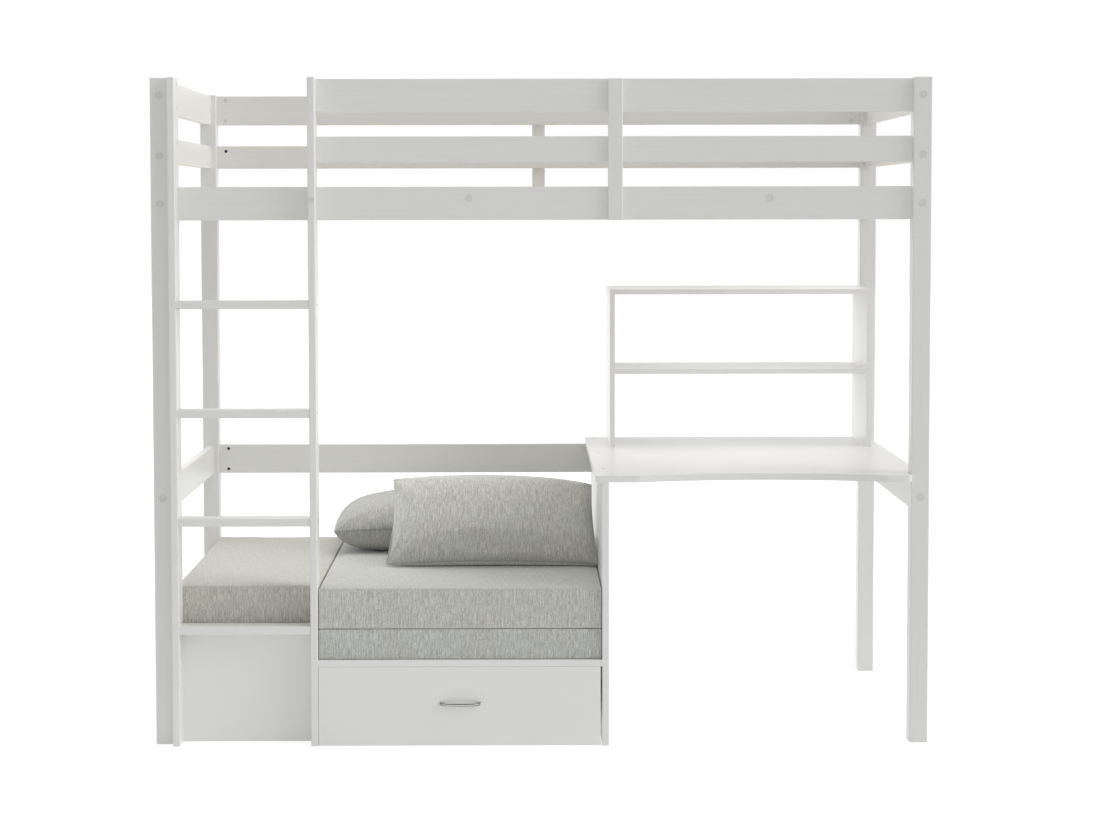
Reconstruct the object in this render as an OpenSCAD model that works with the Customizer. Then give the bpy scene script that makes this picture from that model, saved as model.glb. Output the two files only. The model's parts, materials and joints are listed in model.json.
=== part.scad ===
// Cabin bed: a raised single bunk with a ladder, over a corner seat with a roll-out drawer
// and a desk with a small shelf unit. Millimetres, +Z up. X runs along the bed, the front is
// towards -Y, and the origin is under the middle of the whole outline, on the floor.
// Depths are counted from the front faces of the posts, back being positive.

/* [Bed frame] */
// Length over the posts
bed_length = 2110; // [2080:5:2140]
// Depth over the posts
bed_depth = 980; // [970:5:990]
// Height of the posts and of the ladder
bed_height = 1815; // [1810:1:1830]
// Side of the square posts
post_side = 50; // [48:1:52]
// Thickness of the rails
rail_thick = 20; // [18:1:22]
// Height of the wide rails
wide_rail = 90; // [88:1:92]
// Height of the middle guard rails
mid_rail = 70; // [66:1:72]
// Underside of the bed rails
bed_rail_z = 1431; // [1425:1:1435]
// Underside of the middle guard rails
mid_rail_z = 1587; // [1583:1:1590]
// Underside of the low rails that carry the desk
low_rail_z = 631; // [625:1:640]
// Rounding of the long edges of the solid wood
edge_round = 3; // [2:0.5:4]
// Width of the upright guard stiles
stile_w = 40; // [36:1:44]
// Place of the front stile along the bed
front_stile_x = 200; // [190:5:210]

/* [Slat base] */
// Width of a slat
slat_w = 70; // [60:1:72]
// Thickness of a slat
slat_t = 18; // [15:1:18]
// Places of the two tie beams along the bed
beam_x = [-197, 618];
// Slats in each bay between the tie beams
slats_in_bay = [6, 6, 3];

/* [Ladder] */
// Thickness of a stringer, across the ladder
stringer_t = 20; // [18:1:22]
// Depth of a stringer, front to back
stringer_deep = 73; // [72:1:76]
// How far the ladder stands in front of the posts
ladder_front = 29; // [26:1:30]
// Clear width between the stringers
ladder_clear = 356; // [340:1:370]
// Thickness of a rung
rung_t = 22; // [20:1:24]
// Underside of the lowest rung
first_rung_z = 307; // [305:1:310]
// Step from rung to rung
rung_step = 295; // [290:1:296]

/* [Desk] */
// Top of the desk
desk_z = 739; // [739:1:745]
// Thickness of the desk top and of its side panel
desk_t = 18; // [16:1:18]
// Left edge of the desk top
desk_left = 145; // [140:1:150]
// How far the desk stands in front of the posts
desk_front = 30; // [26:1:34]
// Depth of the hollow in the front edge of the desk
desk_hollow = 50; // [30:5:55]
// Middle of the hollow along the bed
hollow_x = 600; // [580:5:620]
// Height of the shelf unit on the desk
hutch_h = 478; // [460:1:490]
// Depth of the shelf unit
hutch_deep = 295; // [280:5:300]
// Thickness of its boards
hutch_t = 15; // [14:1:16]
// Left side of the shelf unit
hutch_left = 213; // [205:1:220]
// Underside of its shelf
shelf_z = 960.5; // [900:0.5:1100]

/* [Seat] */
// Thickness of the seat boards and panels
seat_t = 18; // [16:1:18]
// Top of the right seat board
seat_board_z = 236; // [234:1:236]
// Thickness of the lower cushion
low_cushion = 83; // [80:1:83]
// Thickness of the upper cushions
top_cushion = 111; // [105:1:112]
// Rounding of the cushion edges
cushion_edge = 7; // [6:1:14]
// Height of the crown on a cushion
cushion_crown = 3; // [1:0.5:4]

/* [Drawer] */
// Height of the drawer front
drawer_h = 215; // [205:1:215]
// Depth of the drawer box behind its front
drawer_deep = 850; // [600:10:860]
// Thickness of the sides and the back of the drawer
drawer_side_t = 15; // [12:1:16]
// Radius of the castor wheels
wheel_r = 20; // [18:1:20]
// Distance between the feet of the handle
handle_pitch = 99; // [90:1:110]
// Radius of the handle's bar
handle_r = 4.6; // [4:0.1:5]
// How far the handle stands off the drawer front
handle_proud = 27; // [24:1:30]

/* [Hidden] */
$fn = 32;

// Colours, as plain sRGB values
white_wood = [0.93, 0.93, 0.92];
white_board = [0.95, 0.95, 0.94];
plain_pine = [0.89, 0.85, 0.78];
satin_steel = [0.72, 0.72, 0.70];
bolt_white = [0.90, 0.90, 0.89];
wheel_grey = [0.28, 0.29, 0.30];
seat_fabric = [0.74, 0.74, 0.70];
pillow_fabric = [0.70, 0.71, 0.67];

// Main planes of the frame
half_len = bed_length / 2;
inner_x = half_len - post_side;
back_post = bed_depth - post_side;
rail_set = (post_side - rail_thick) / 2;
front_rail = rail_set;
back_rail = bed_depth - rail_set - rail_thick;
end_rail = half_len - rail_set;
top_rail_z = bed_height - wide_rail - 3;
handle_reach = 28 + handle_proud;
depth_shift = -(bed_depth - handle_reach) / 2;

// Heights of the rail centres, and of the bolts in them
top_c = top_rail_z + wide_rail / 2;
mid_c = mid_rail_z + mid_rail / 2;
bed_c = bed_rail_z + wide_rail / 2;
low_c = low_rail_z + wide_rail / 2;
pair_gap = 32;
top_pair = [top_c - pair_gap, top_c + pair_gap];
bed_pair = [bed_c - pair_gap, bed_c + pair_gap];
low_pair = [low_c - pair_gap, low_c + pair_gap];
mid_lift = 19;
mid_drop = 16;
mid_level = mid_c + mid_lift;
cross_levels = [low_c, bed_c, mid_c - mid_drop, top_c];
ladder_low_bolt = 505;
beam_bolt_z = 1489;

// Bolts, their cross dowels and the screws
shank_r = 3;
head_r = 9.8;
ladder_head_r = 8.5;
head_t = 3;
head_sink = 0.4;
dowel_r = 4.8;
dowel_len = 13;
dowel_in = 28;
dowel_past = 8;
screw_head_r = 4.5;
screw_head_t = 2.5;
screw_shank_r = 2;
recess_long = 4.4;
recess_wide = 1;
recess_deep = 1.4;
fit = 0.3;
sleeve_r = 4.3;
sleeve_start = 4;
sleeve_len = 9;

// Ladder
stringer_left_x = -inner_x;
stringer_right_x = stringer_left_x + stringer_t + ladder_clear;
ladder_back = stringer_deep - ladder_front;
guard_left = stringer_right_x + stringer_t;
rung_back = 32;

// Slat base
slat_top = 1509;
ledger_h = 30;
ledger_t = 20;
beam_t = 30;
beam_h = 40;

// Desk and shelf unit
desk_under = desk_z - desk_t;
panel_x = desk_left + 19;
hutch_front = bed_depth - hutch_deep;
hutch_right = inner_x - 1;

// Seat
seat_back = back_post;
box_top = seat_board_z + low_cushion;
seat_top = box_top + 1 + top_cushion;
divider_x = guard_left - seat_t - 3;
seat_front = -26;
cleat = 18;

// Drawer
drawer_face = -28;
drawer_front_t = 18;
drawer_left = guard_left + 0.8;
drawer_right = panel_x - 4.8;
drawer_floor = 2 * wheel_r + 8;
drawer_top = 165;
box_left = divider_x + seat_t + cleat + 6;
box_right = panel_x - cleat - 6;
handle_x = -223;
handle_z = 118;
wheel_w = 14;
wheel_inset = 60;
wheel_rear = 760;

// ---------------------------------------------------------------- helpers

// Everything is drawn by depth behind the posts, then moved so that the origin is central
module in_place(tint) {
    color(tint)
        translate([0, depth_shift, 0])
            children();
}

// Outline of a rectangle w by h whose corners are arcs of radius r
function soft_rect(w, h, r, steps = 3) = [
    for (corner = [0:3])
        for (i = [0:steps])
            let (turn = 90 * corner + 90 * i / steps,
                 cx = (corner == 0 || corner == 3) ? w - r : r,
                 cy = corner < 2 ? h - r : r)
                [cx + r * cos(turn), cy + r * sin(turn)]
];

// Planks with rounded long edges, named after the way their length runs
module plank_x(x, d, z, r = edge_round) {
    translate([x[0], 0, 0])
        rotate([90, 0, 90])
            linear_extrude(x[1] - x[0])
                translate([d[0], z[0]])
                    polygon(soft_rect(d[1] - d[0], z[1] - z[0], r));
}

module plank_y(x, d, z, r = edge_round) {
    translate([0, d[1], 0])
        rotate([90, 0, 0])
            linear_extrude(d[1] - d[0])
                translate([x[0], z[0]])
                    polygon(soft_rect(x[1] - x[0], z[1] - z[0], r));
}

module plank_z(x, d, z, r = edge_round) {
    translate([0, 0, z[0]])
        linear_extrude(z[1] - z[0])
            translate([x[0], d[0]])
                polygon(soft_rect(x[1] - x[0], d[1] - d[0], r));
}

// An upright whose ends are eased like its edges
module upright(x, d, z) {
    intersection() {
        plank_z(x, d, z);
        plank_x(x, d, z);
        plank_y(x, d, z);
    }
}

// A board with sharp edges
module board(x, d, z) {
    translate([x[0], d[0], z[0]])
        cube([x[1] - x[0], d[1] - d[0], z[1] - z[0]]);
}

// Turns a shape drawn along +Z so that it runs along the named direction
module facing(way) {
    turn = way == "+x" ? [0, 90, 0]
         : way == "-x" ? [0, -90, 0]
         : way == "+y" ? [-90, 0, 0]
         : way == "-y" ? [90, 0, 0]
         : way == "-z" ? [180, 0, 0]
         : [0, 0, 0];
    rotate(turn)
        children();
}

// Clear hole and counterbore of a bolt that enters at a point and runs the given way
module bolt_hole(at, way, deep, r = head_r) {
    translate(at)
        facing(way) {
            translate([0, 0, -1])
                cylinder(r = r + fit, h = head_t + head_sink + 1);
            cylinder(r = shank_r + fit, h = deep);
        }
}

// A bolt has a plain flat round head, capped flush
module bolt(at, way, long, r = head_r) {
    translate(at)
        facing(way)
            translate([0, 0, head_sink]) {
                cylinder(r = r, h = head_t);
                cylinder(r = shank_r, h = long - head_sink);
            }
}

module screw_hole(at, way, deep) {
    translate(at)
        facing(way) {
            translate([0, 0, -1])
                cylinder(r = screw_head_r + fit / 2, h = screw_head_t + 1);
            cylinder(r = screw_shank_r + fit / 2, h = deep);
        }
}

// A wood screw has a flat head with a cross recess
module screw(at, way, long) {
    translate(at)
        facing(way)
            difference() {
                union() {
                    cylinder(r = screw_head_r, h = screw_head_t);
                    cylinder(r = screw_shank_r, h = long);
                }
                for (turn = [0, 90])
                    rotate([0, 0, turn])
                        translate([-recess_long / 2, -recess_wide / 2, -1])
                            cube([recess_long, recess_wide, recess_deep + 1]);
            }
}

// ---------------------------------------------------------------- posts

// Bolt heights in the outer side face of each post, for the rails that run along the bed
function side_levels(front, left) =
    front && left ? concat(bed_pair, top_pair, [mid_level, ladder_low_bolt])
  : front ? concat(bed_pair, top_pair, [mid_level])
  : concat(low_pair, bed_pair, top_pair, [mid_level]);

module post(front, left) {
    side = left ? -1 : 1;
    x_mid = side * (half_len - post_side / 2);
    d_mid = front ? post_side / 2 : bed_depth - post_side / 2;
    x = [x_mid - post_side / 2, x_mid + post_side / 2];
    d = [d_mid - post_side / 2, d_mid + post_side / 2];
    in_place(white_wood)
        difference() {
            upright(x, d, [0, bed_height]);
            for (z = side_levels(front, left))
                bolt_hole([side * half_len, d_mid, z], left ? "+x" : "-x", post_side + 1);
            for (z = cross_levels)
                bolt_hole([x_mid, front ? 0 : bed_depth, z], front ? "+y" : "-y", post_side + 1);
        }
}

// ---------------------------------------------------------------- rails

// Bolt bore and cross-dowel hole at the end of a rail that runs along the bed
module end_bore_x(x_end, way, z, front) {
    d_mid = front ? front_rail + rail_thick / 2 : back_rail + rail_thick / 2;
    step = way == "+x" ? 1 : -1;
    translate([x_end - step, d_mid, z])
        facing(way)
            cylinder(r = shank_r + fit, h = dowel_in + dowel_past + 3);
    translate([x_end + step * dowel_in, d_mid, z])
        facing(front ? "+y" : "-y")
            translate([0, 0, -5])
                cylinder(r = dowel_r + 0.2, h = rail_thick);
}

// A rail along the bed with its bores: levels are the bolt heights at each end
module long_rail(x, z, front, left_levels, right_levels, high) {
    d = front ? front_rail : back_rail;
    in_place(white_wood)
        difference() {
            plank_x(x, [d, d + rail_thick], [z, z + high]);
            for (level = left_levels)
                end_bore_x(x[0], "+x", level, front);
            for (level = right_levels)
                end_bore_x(x[1], "-x", level, front);
            children();
        }
}

module bed_rail(front) {
    long_rail([-inner_x, inner_x], bed_rail_z, front, bed_pair, bed_pair, wide_rail) {
        for (x = beam_x)
            bolt_hole([x, front ? front_rail : back_rail + rail_thick, beam_bolt_z],
                      front ? "+y" : "-y", rail_thick + 1);
        if (front)
            translate([stringer_right_x + stringer_t / 2, front_rail - 1, bed_c + 10])
                facing("+y")
                    cylinder(r = shank_r + fit, h = 15);
    }
}

module top_guard(front) {
    long_rail([front ? guard_left : -inner_x, inner_x], top_rail_z, front,
              top_pair, top_pair, wide_rail);
}

module mid_guard(front) {
    long_rail([front ? guard_left : -inner_x, inner_x], mid_rail_z, front,
              [mid_level], [mid_level], mid_rail);
}

module low_back_rail() {
    long_rail([-inner_x, inner_x], low_rail_z, false, low_pair, low_pair, wide_rail);
}

// A stile lies on the outer faces of the guard rails, flush with the faces of the posts
module guard_stile(front) {
    x_mid = front ? front_stile_x : 0;
    d = front ? [0, front_rail] : [back_rail + rail_thick, bed_depth];
    in_place(white_wood)
        upright([x_mid - stile_w / 2, x_mid + stile_w / 2], d,
                [bed_rail_z - 1, top_rail_z + wide_rail]);
}

// An end rail runs from front to back between two posts
module cross_rail(left, z, high, level) {
    x = left ? [-end_rail, -end_rail + rail_thick] : [end_rail - rail_thick, end_rail];
    x_mid = (x[0] + x[1]) / 2;
    d = [post_side, back_post];
    in_place(white_wood)
        difference() {
            plank_y(x, d, [z, z + high]);
            for (end = [0, 1]) {
                translate([x_mid, end == 0 ? d[0] - 1 : d[1] + 1, level])
                    facing(end == 0 ? "+y" : "-y")
                        cylinder(r = shank_r + fit, h = dowel_in + dowel_past + 3);
                translate([x_mid, end == 0 ? d[0] + dowel_in : d[1] - dowel_in, level])
                    facing(left ? "+x" : "-x")
                        translate([0, 0, -5])
                            cylinder(r = dowel_r + 0.2, h = rail_thick);
            }
        }
}

// ---------------------------------------------------------------- slat base

// Bays between the tie beams, as [left, right] along the bed
bays = [
    [-inner_x, beam_x[0] - beam_t / 2],
    [beam_x[0] + beam_t / 2, beam_x[1] - beam_t / 2],
    [beam_x[1] + beam_t / 2, inner_x],
];
bed_inside = [front_rail + rail_thick, back_rail];

module slat_ledgers() {
    in_place(white_wood)
        for (bay = bays) {
            z = [slat_top - slat_t - ledger_h, slat_top - slat_t];
            plank_x(bay, [bed_inside[0], bed_inside[0] + ledger_t], z, 2);
            plank_x(bay, [bed_inside[1] - ledger_t, bed_inside[1]], z, 2);
        }
}

module tie_beams() {
    in_place(white_wood)
        for (x = beam_x)
            difference() {
                plank_y([x - beam_t / 2, x + beam_t / 2], bed_inside,
                        [slat_top - beam_h, slat_top]);
                for (end = [0, 1])
                    translate([x, end == 0 ? bed_inside[0] - 1 : bed_inside[1] + 1, beam_bolt_z])
                        facing(end == 0 ? "+y" : "-y")
                            cylinder(r = shank_r + fit, h = dowel_in + dowel_past + 3);
            }
}

module slats() {
    in_place(plain_pine)
        for (b = [0:2]) {
            count = slats_in_bay[b];
            space = (bays[b][1] - bays[b][0] - count * slat_w) / (count + 1);
            for (i = [0:count - 1]) {
                x = bays[b][0] + space + i * (slat_w + space);
                plank_y([x, x + slat_w], [bed_inside[0] + 1, bed_inside[1] - 1],
                        [slat_top - slat_t, slat_top], 2);
            }
        }
}

// ---------------------------------------------------------------- ladder

ladder_bolts = [ladder_low_bolt, mid_level, top_pair[0], top_pair[1]];

function rung_z(i) = first_rung_z + (i - 1) * rung_step;
rung_screws = [-8, 16];

// A stringer is notched at the back to pass in front of the bed rail
module stringer(left) {
    x0 = left ? stringer_left_x : stringer_right_x;
    x = [x0, x0 + stringer_t];
    in_place(white_wood)
        difference() {
            upright(x, [-ladder_front, ladder_back], [0, bed_height]);
            board([x[0] - 1, x[1] + 1], [front_rail, ladder_back + 1],
                  [bed_rail_z, bed_rail_z + wide_rail]);
            if (left)
                for (z = ladder_bolts)
                    translate([x[0] - 1, post_side / 2, z])
                        facing("+x")
                            cylinder(r = sleeve_r + 0.1, h = stringer_t + 2);
            if (!left) {
                for (z = concat(top_pair, [mid_level]))
                    bolt_hole([x[0], front_rail + rail_thick / 2, z], "+x", stringer_t + 1);
                bolt_hole([x[0] + stringer_t / 2, -ladder_front, bed_c + 10], "+y",
                          ladder_front + front_rail + 1, ladder_head_r);
                for (i = [1:4])
                    for (d = rung_screws)
                        screw_hole([x[1], d, rung_z(i) + rung_t / 2], "-x", stringer_t + 1);
            }
        }
}

module rung(i) {
    in_place(white_wood)
        difference() {
            plank_x([stringer_left_x + stringer_t, stringer_right_x],
                    [-ladder_front + 1, rung_back], [rung_z(i), rung_z(i) + rung_t], 4);
            for (d = rung_screws)
                translate([stringer_right_x + 1, d, rung_z(i) + rung_t / 2])
                    facing("-x")
                        cylinder(r = screw_shank_r + fit / 2, h = 32);
        }
}

// ---------------------------------------------------------------- desk and shelf unit

// The front edge is straight at both ends and hollowed by one wide arc between them
hollow_half = 335;
hollow_r = (hollow_half * hollow_half + desk_hollow * desk_hollow) / (2 * desk_hollow);
desk_screws = [141, 529, 926];
desk_corner = 12;

function corner_arc(centre, r, start, steps = 4) =
    [for (i = [0:steps]) centre + r * [cos(start + 90 * i / steps), sin(start + 90 * i / steps)]];

module desk_top() {
    right = inner_x - 1;
    over_rail = end_rail;
    outline = concat(
        corner_arc([desk_left + desk_corner, -desk_front + desk_corner], desk_corner, 180),
        corner_arc([right - desk_corner, -desk_front + desk_corner], desk_corner, 270),
        [[right, post_side + 1], [over_rail, post_side + 1],
         [over_rail, back_post - 1], [right, back_post - 1],
         [right, bed_depth], [desk_left, bed_depth]]);
    in_place(white_board)
        difference() {
            translate([0, 0, desk_under])
                linear_extrude(desk_t)
                    polygon(outline);
            translate([hollow_x, desk_hollow - desk_front - hollow_r, desk_under - 1])
                cylinder(r = hollow_r, h = desk_t + 2, $fn = 720);
            for (d = desk_screws)
                screw_hole([panel_x + desk_t / 2, d, desk_z], "-z", desk_t + 1);
        }
}

module desk_side_panel() {
    in_place(white_board)
        difference() {
            board([panel_x, panel_x + desk_t], [-27, back_rail], [0, desk_under]);
            for (d = desk_screws)
                translate([panel_x + desk_t / 2, d, desk_under + 1])
                    facing("-z")
                        cylinder(r = screw_shank_r + fit / 2, h = 32);
        }
}

hutch_levels = [shelf_z + hutch_t / 2, desk_z + hutch_h - hutch_t / 2];
hutch_screws = [hutch_front + 40, bed_depth - 50];

module hutch_side(left) {
    x0 = left ? hutch_left : hutch_right - hutch_t;
    in_place(white_board)
        difference() {
            board([x0, x0 + hutch_t], [hutch_front, bed_depth], [desk_z, desk_z + hutch_h]);
            if (left)
                for (z = hutch_levels)
                    for (d = hutch_screws)
                        screw_hole([x0, d, z], "+x", hutch_t + 1);
        }
}

module hutch_board(z) {
    x = [hutch_left + hutch_t, hutch_right - hutch_t];
    in_place(white_board)
        difference() {
            board(x, [hutch_front, bed_depth], [z, z + hutch_t]);
            for (d = hutch_screws)
                translate([x[0] - 1, d, z + hutch_t / 2])
                    facing("+x")
                        cylinder(r = screw_shank_r + fit / 2, h = 32);
        }
}

// ---------------------------------------------------------------- seat

module seat_front_panel() {
    in_place(white_board)
        board([stringer_left_x + stringer_t, stringer_right_x],
              [ladder_back - seat_t, ladder_back], [2, first_rung_z]);
}

module seat_side_panel() {
    in_place(white_board)
        board([-inner_x + 2, -inner_x + 2 + seat_t], [ladder_back + 6, seat_back],
              [0, box_top - seat_t]);
}

module seat_divider() {
    in_place(white_board)
        board([divider_x, divider_x + seat_t], [ladder_back + 6, seat_back],
              [0, box_top - seat_t]);
}

module seat_rear_panel() {
    in_place(white_board)
        board([divider_x + seat_t, panel_x], [seat_back - seat_t, seat_back],
              [0, seat_board_z - seat_t]);
}

module seat_board_left() {
    in_place(white_board)
        board([-inner_x + 2, divider_x + seat_t], [ladder_back + 1, seat_back],
              [box_top - seat_t, box_top]);
}

// The right board lies on the divider's side of the stringer and is notched round it
module seat_board_right() {
    z = [seat_board_z - seat_t, seat_board_z];
    in_place(white_board)
        difference() {
            board([divider_x + seat_t, panel_x], [seat_front, seat_back], z);
            board([divider_x, guard_left + 0.5], [seat_front - 1, ladder_back + 0.5],
                  [z[0] - 1, z[1] + 1]);
        }
}

// Cleats along the two sides, and two bearers across the middle under the right board
module seat_bearers() {
    under = seat_board_z - seat_t;
    gap = 0.2;
    in_place(white_wood) {
        plank_y([divider_x + seat_t, divider_x + seat_t + cleat],
                [ladder_back + 6, seat_back - seat_t], [under - 40, under], 1);
        plank_y([panel_x - cleat, panel_x], [0, seat_back - seat_t], [under - 40, under], 1);
        for (d = [300, 620])
            plank_x([divider_x + seat_t + cleat + gap, panel_x - cleat - gap], [d, d + cleat],
                    [under - 40, under], 1);
    }
}

// ---------------------------------------------------------------- drawer

drawer_back_d = drawer_face + drawer_front_t + drawer_deep;

module drawer_front() {
    in_place(white_board)
        board([drawer_left, drawer_right], [drawer_face, drawer_face + drawer_front_t],
              [2, 2 + drawer_h]);
}

module drawer_side(left) {
    x0 = left ? box_left : box_right - drawer_side_t;
    in_place(white_board)
        board([x0, x0 + drawer_side_t], [drawer_face + drawer_front_t, drawer_back_d],
              [drawer_floor, drawer_top]);
}

module drawer_back() {
    in_place(white_board)
        board([box_left + drawer_side_t, box_right - drawer_side_t],
              [drawer_back_d - drawer_side_t, drawer_back_d], [drawer_floor, drawer_top]);
}

module drawer_bottom() {
    in_place(white_board)
        board([box_left + drawer_side_t, box_right - drawer_side_t],
              [drawer_face + drawer_front_t, drawer_back_d - drawer_side_t],
              [drawer_floor, drawer_floor + 12]);
}

// The handle is a round bar bent forwards between two feet: its centre line leaves each foot
// square to the drawer front and turns in a quarter ellipse into a nearly straight middle
handle_start = 1;

function handle_path(t) =
    let (half = handle_pitch / 2,
         side = t < 0.5 ? -1 : 1,
         along = 1 - abs(2 * t - 1),
         bend = min(1, along / 0.6),
         run = max(0, (along - 0.6) / 0.4))
        [side * (half - 22 * (1 - cos(90 * bend)) - (half - 22) * run),
         -handle_start - (handle_proud - handle_r - 3 - handle_start) * sin(90 * bend)
             - 3 * sin(90 * run), 0];

function handle_frame(t) =
    let (step = 0.002,
         ahead = handle_path(min(1, t + step)) - handle_path(max(0, t - step)),
         side = cross(ahead / norm(ahead), [0, 0, 1]))
        side;

handle_rings = 36;
handle_sides = 14;
handle_points = [
    for (i = [0:handle_rings])
        let (t = i / handle_rings,
             across = handle_frame(t),
             at = handle_path(t))
            for (k = [0:handle_sides - 1])
                let (turn = 360 * k / handle_sides)
                    at + handle_r * cos(turn) * across + [0, 0, handle_r * sin(turn)]
];

module bar(points, rings, sides) {
    quads = [
        for (i = [0:rings - 1])
            for (k = [0:sides - 1])
                let (a = i * sides + k, b = i * sides + (k + 1) % sides)
                    for (f = [[a, b, b + sides], [a, b + sides, a + sides]])
                        f
    ];
    first = [for (k = [0:sides - 1]) sides - 1 - k];
    last = [for (k = [0:sides - 1]) rings * sides + k];
    polyhedron(points, concat(quads, [first], [last]));
}

module drawer_handle() {
    foot_r = 6.5;
    in_place(satin_steel)
        translate([handle_x, drawer_face, handle_z])
            union() {
                bar(handle_points, handle_rings, handle_sides);
                for (side = [-1, 1])
                    translate([side * handle_pitch / 2, 0, 0])
                        facing("-y")
                            cylinder(r = foot_r, h = 3);
            }
}

// Castor places under the drawer, as [x, depth]
castor_x = [box_left + wheel_inset, box_right - wheel_inset];
castor_d = [wheel_inset, wheel_rear];
axle_r = 3;

module castor_brackets() {
    cheek_t = 2.5;
    cheek_gap = wheel_w + 2;
    plate_z = drawer_floor - cheek_t;
    in_place(satin_steel)
        for (x = castor_x)
            for (d = castor_d)
                translate([x, d, 0])
                    union() {
                        board([-20, 20], [-24, 24], [plate_z, drawer_floor]);
                        for (side = [-1, 1])
                            translate([side * (cheek_gap + cheek_t) / 2, 0, 0])
                                board([-cheek_t / 2, cheek_t / 2], [-9, 9],
                                      [wheel_r - 9, plate_z]);
                        translate([-cheek_gap / 2 - cheek_t - 1, 0, wheel_r])
                            facing("+x")
                                cylinder(r = axle_r, h = cheek_gap + 2 * cheek_t + 2);
                    }
}

// A wheel has a rounded tread, a recessed web and a bored hub
module wheel() {
    tread = 3;
    rim = wheel_r - 5;
    rotate([0, 90, 0])
        rotate_extrude($fn = 64)
            polygon([
                [axle_r + 0.1, -wheel_w / 2],
                [7, -wheel_w / 2],
                [8, -wheel_w / 2 + 3],
                [rim, -wheel_w / 2 + 3],
                [rim, -wheel_w / 2],
                [wheel_r - tread / 2, -wheel_w / 2],
                [wheel_r, -wheel_w / 2 + tread / 2],
                [wheel_r, wheel_w / 2 - tread / 2],
                [wheel_r - tread / 2, wheel_w / 2],
                [rim, wheel_w / 2],
                [rim, wheel_w / 2 - 3],
                [8, wheel_w / 2 - 3],
                [7, wheel_w / 2],
                [axle_r + 0.1, wheel_w / 2],
            ]);
}

module castor_wheels(d) {
    in_place(wheel_grey)
        for (x = castor_x)
            translate([x, d, wheel_r])
                wheel();
}

// ---------------------------------------------------------------- fasteners

x_bolt_len = post_side + dowel_in + dowel_past;
guard_bolt_len = stringer_t + dowel_in + dowel_past;

module frame_bolts() {
    in_place(bolt_white) {
        for (front = [true, false])
            for (left = [true, false]) {
                side = left ? -1 : 1;
                x_mid = side * (half_len - post_side / 2);
                d_mid = front ? post_side / 2 : bed_depth - post_side / 2;
                for (z = side_levels(front, left)) {
                    in_stringer = front && left && (z > bed_c + wide_rail || z < bed_rail_z);
                    bolt([side * half_len, d_mid, z], left ? "+x" : "-x",
                         in_stringer ? post_side + stringer_t - 8 : x_bolt_len);
                }
                for (z = cross_levels)
                    bolt([x_mid, front ? 0 : bed_depth, z], front ? "+y" : "-y", x_bolt_len);
            }
        for (z = concat(top_pair, [mid_level]))
            bolt([stringer_right_x, front_rail + rail_thick / 2, z], "+x", guard_bolt_len);
        bolt([stringer_right_x + stringer_t / 2, -ladder_front, bed_c + 10], "+y",
             ladder_front + front_rail + 12, ladder_head_r);
        for (x = beam_x) {
            bolt([x, front_rail, beam_bolt_z], "+y", rail_thick + dowel_in);
            bolt([x, back_rail + rail_thick, beam_bolt_z], "-y", rail_thick + dowel_in);
        }
    }
}

// A cross dowel has a bore across it for the bolt and a screwdriver slot in its outer end
module cross_dowel() {
    difference() {
        cylinder(r = dowel_r, h = dowel_len);
        translate([-dowel_r - 1, 0, 5])
            facing("+x")
                cylinder(r = shank_r + 0.1, h = 2 * dowel_r + 2);
        translate([-0.6, -dowel_r - 1, dowel_len - 1.5])
            cube([1.2, 2 * dowel_r + 2, 2]);
    }
}

module dowel_in_long_rail(x, z, front) {
    d = front ? front_rail + rail_thick / 2 - 5 : back_rail + rail_thick / 2 + 5;
    translate([x, d, z])
        facing(front ? "+y" : "-y")
            cross_dowel();
}

module dowel_in_end_rail(left, d, z) {
    side = left ? -1 : 1;
    translate([side * (end_rail - rail_thick / 2 + 5), d, z])
        facing(left ? "+x" : "-x")
            rotate([0, 0, 90])
                cross_dowel();
}

// A sleeve nut takes the end of a bolt inside the left stringer
module sleeve_nut(z) {
    translate([stringer_left_x + sleeve_start, post_side / 2, z])
        facing("+x")
            difference() {
                cylinder(r = sleeve_r, h = sleeve_len);
                translate([0, 0, -1])
                    cylinder(r = shank_r + 0.1, h = sleeve_len + 2);
            }
}

module cross_dowels() {
    reach = inner_x - dowel_in;
    in_place(satin_steel) {
        for (z = ladder_bolts)
            sleeve_nut(z);
        for (z = concat(bed_pair, top_pair, [mid_level])) {
            dowel_in_long_rail(reach, z, true);
            dowel_in_long_rail(z < mid_rail_z ? -reach : guard_left + dowel_in, z, true);
        }
        for (z = concat(low_pair, bed_pair, top_pair, [mid_level]))
            for (side = [-1, 1])
                dowel_in_long_rail(side * reach, z, false);
        for (left = [true, false])
            for (z = cross_levels)
                for (d = [post_side + dowel_in, back_post - dowel_in])
                    dowel_in_end_rail(left, d, z);
    }
}

module panel_screws() {
    in_place(satin_steel) {
        for (d = desk_screws)
            screw([panel_x + desk_t / 2, d, desk_z], "-z", desk_t + 28);
        for (i = [1:4])
            for (d = rung_screws)
                screw([guard_left, d, rung_z(i) + rung_t / 2], "-x", stringer_t + 28);
        for (z = hutch_levels)
            for (d = hutch_screws)
                screw([hutch_left, d, z], "+x", hutch_t + 28);
    }
}

// ---------------------------------------------------------------- soft parts

// One ring round a cushion: a rounded rectangle of half sizes a and b at height z, whose sides
// are drawn in by pull[0..3] at the back, left, front and right
cushion_corner = 18;
corner_steps = 3;
side_steps = 6;

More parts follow.
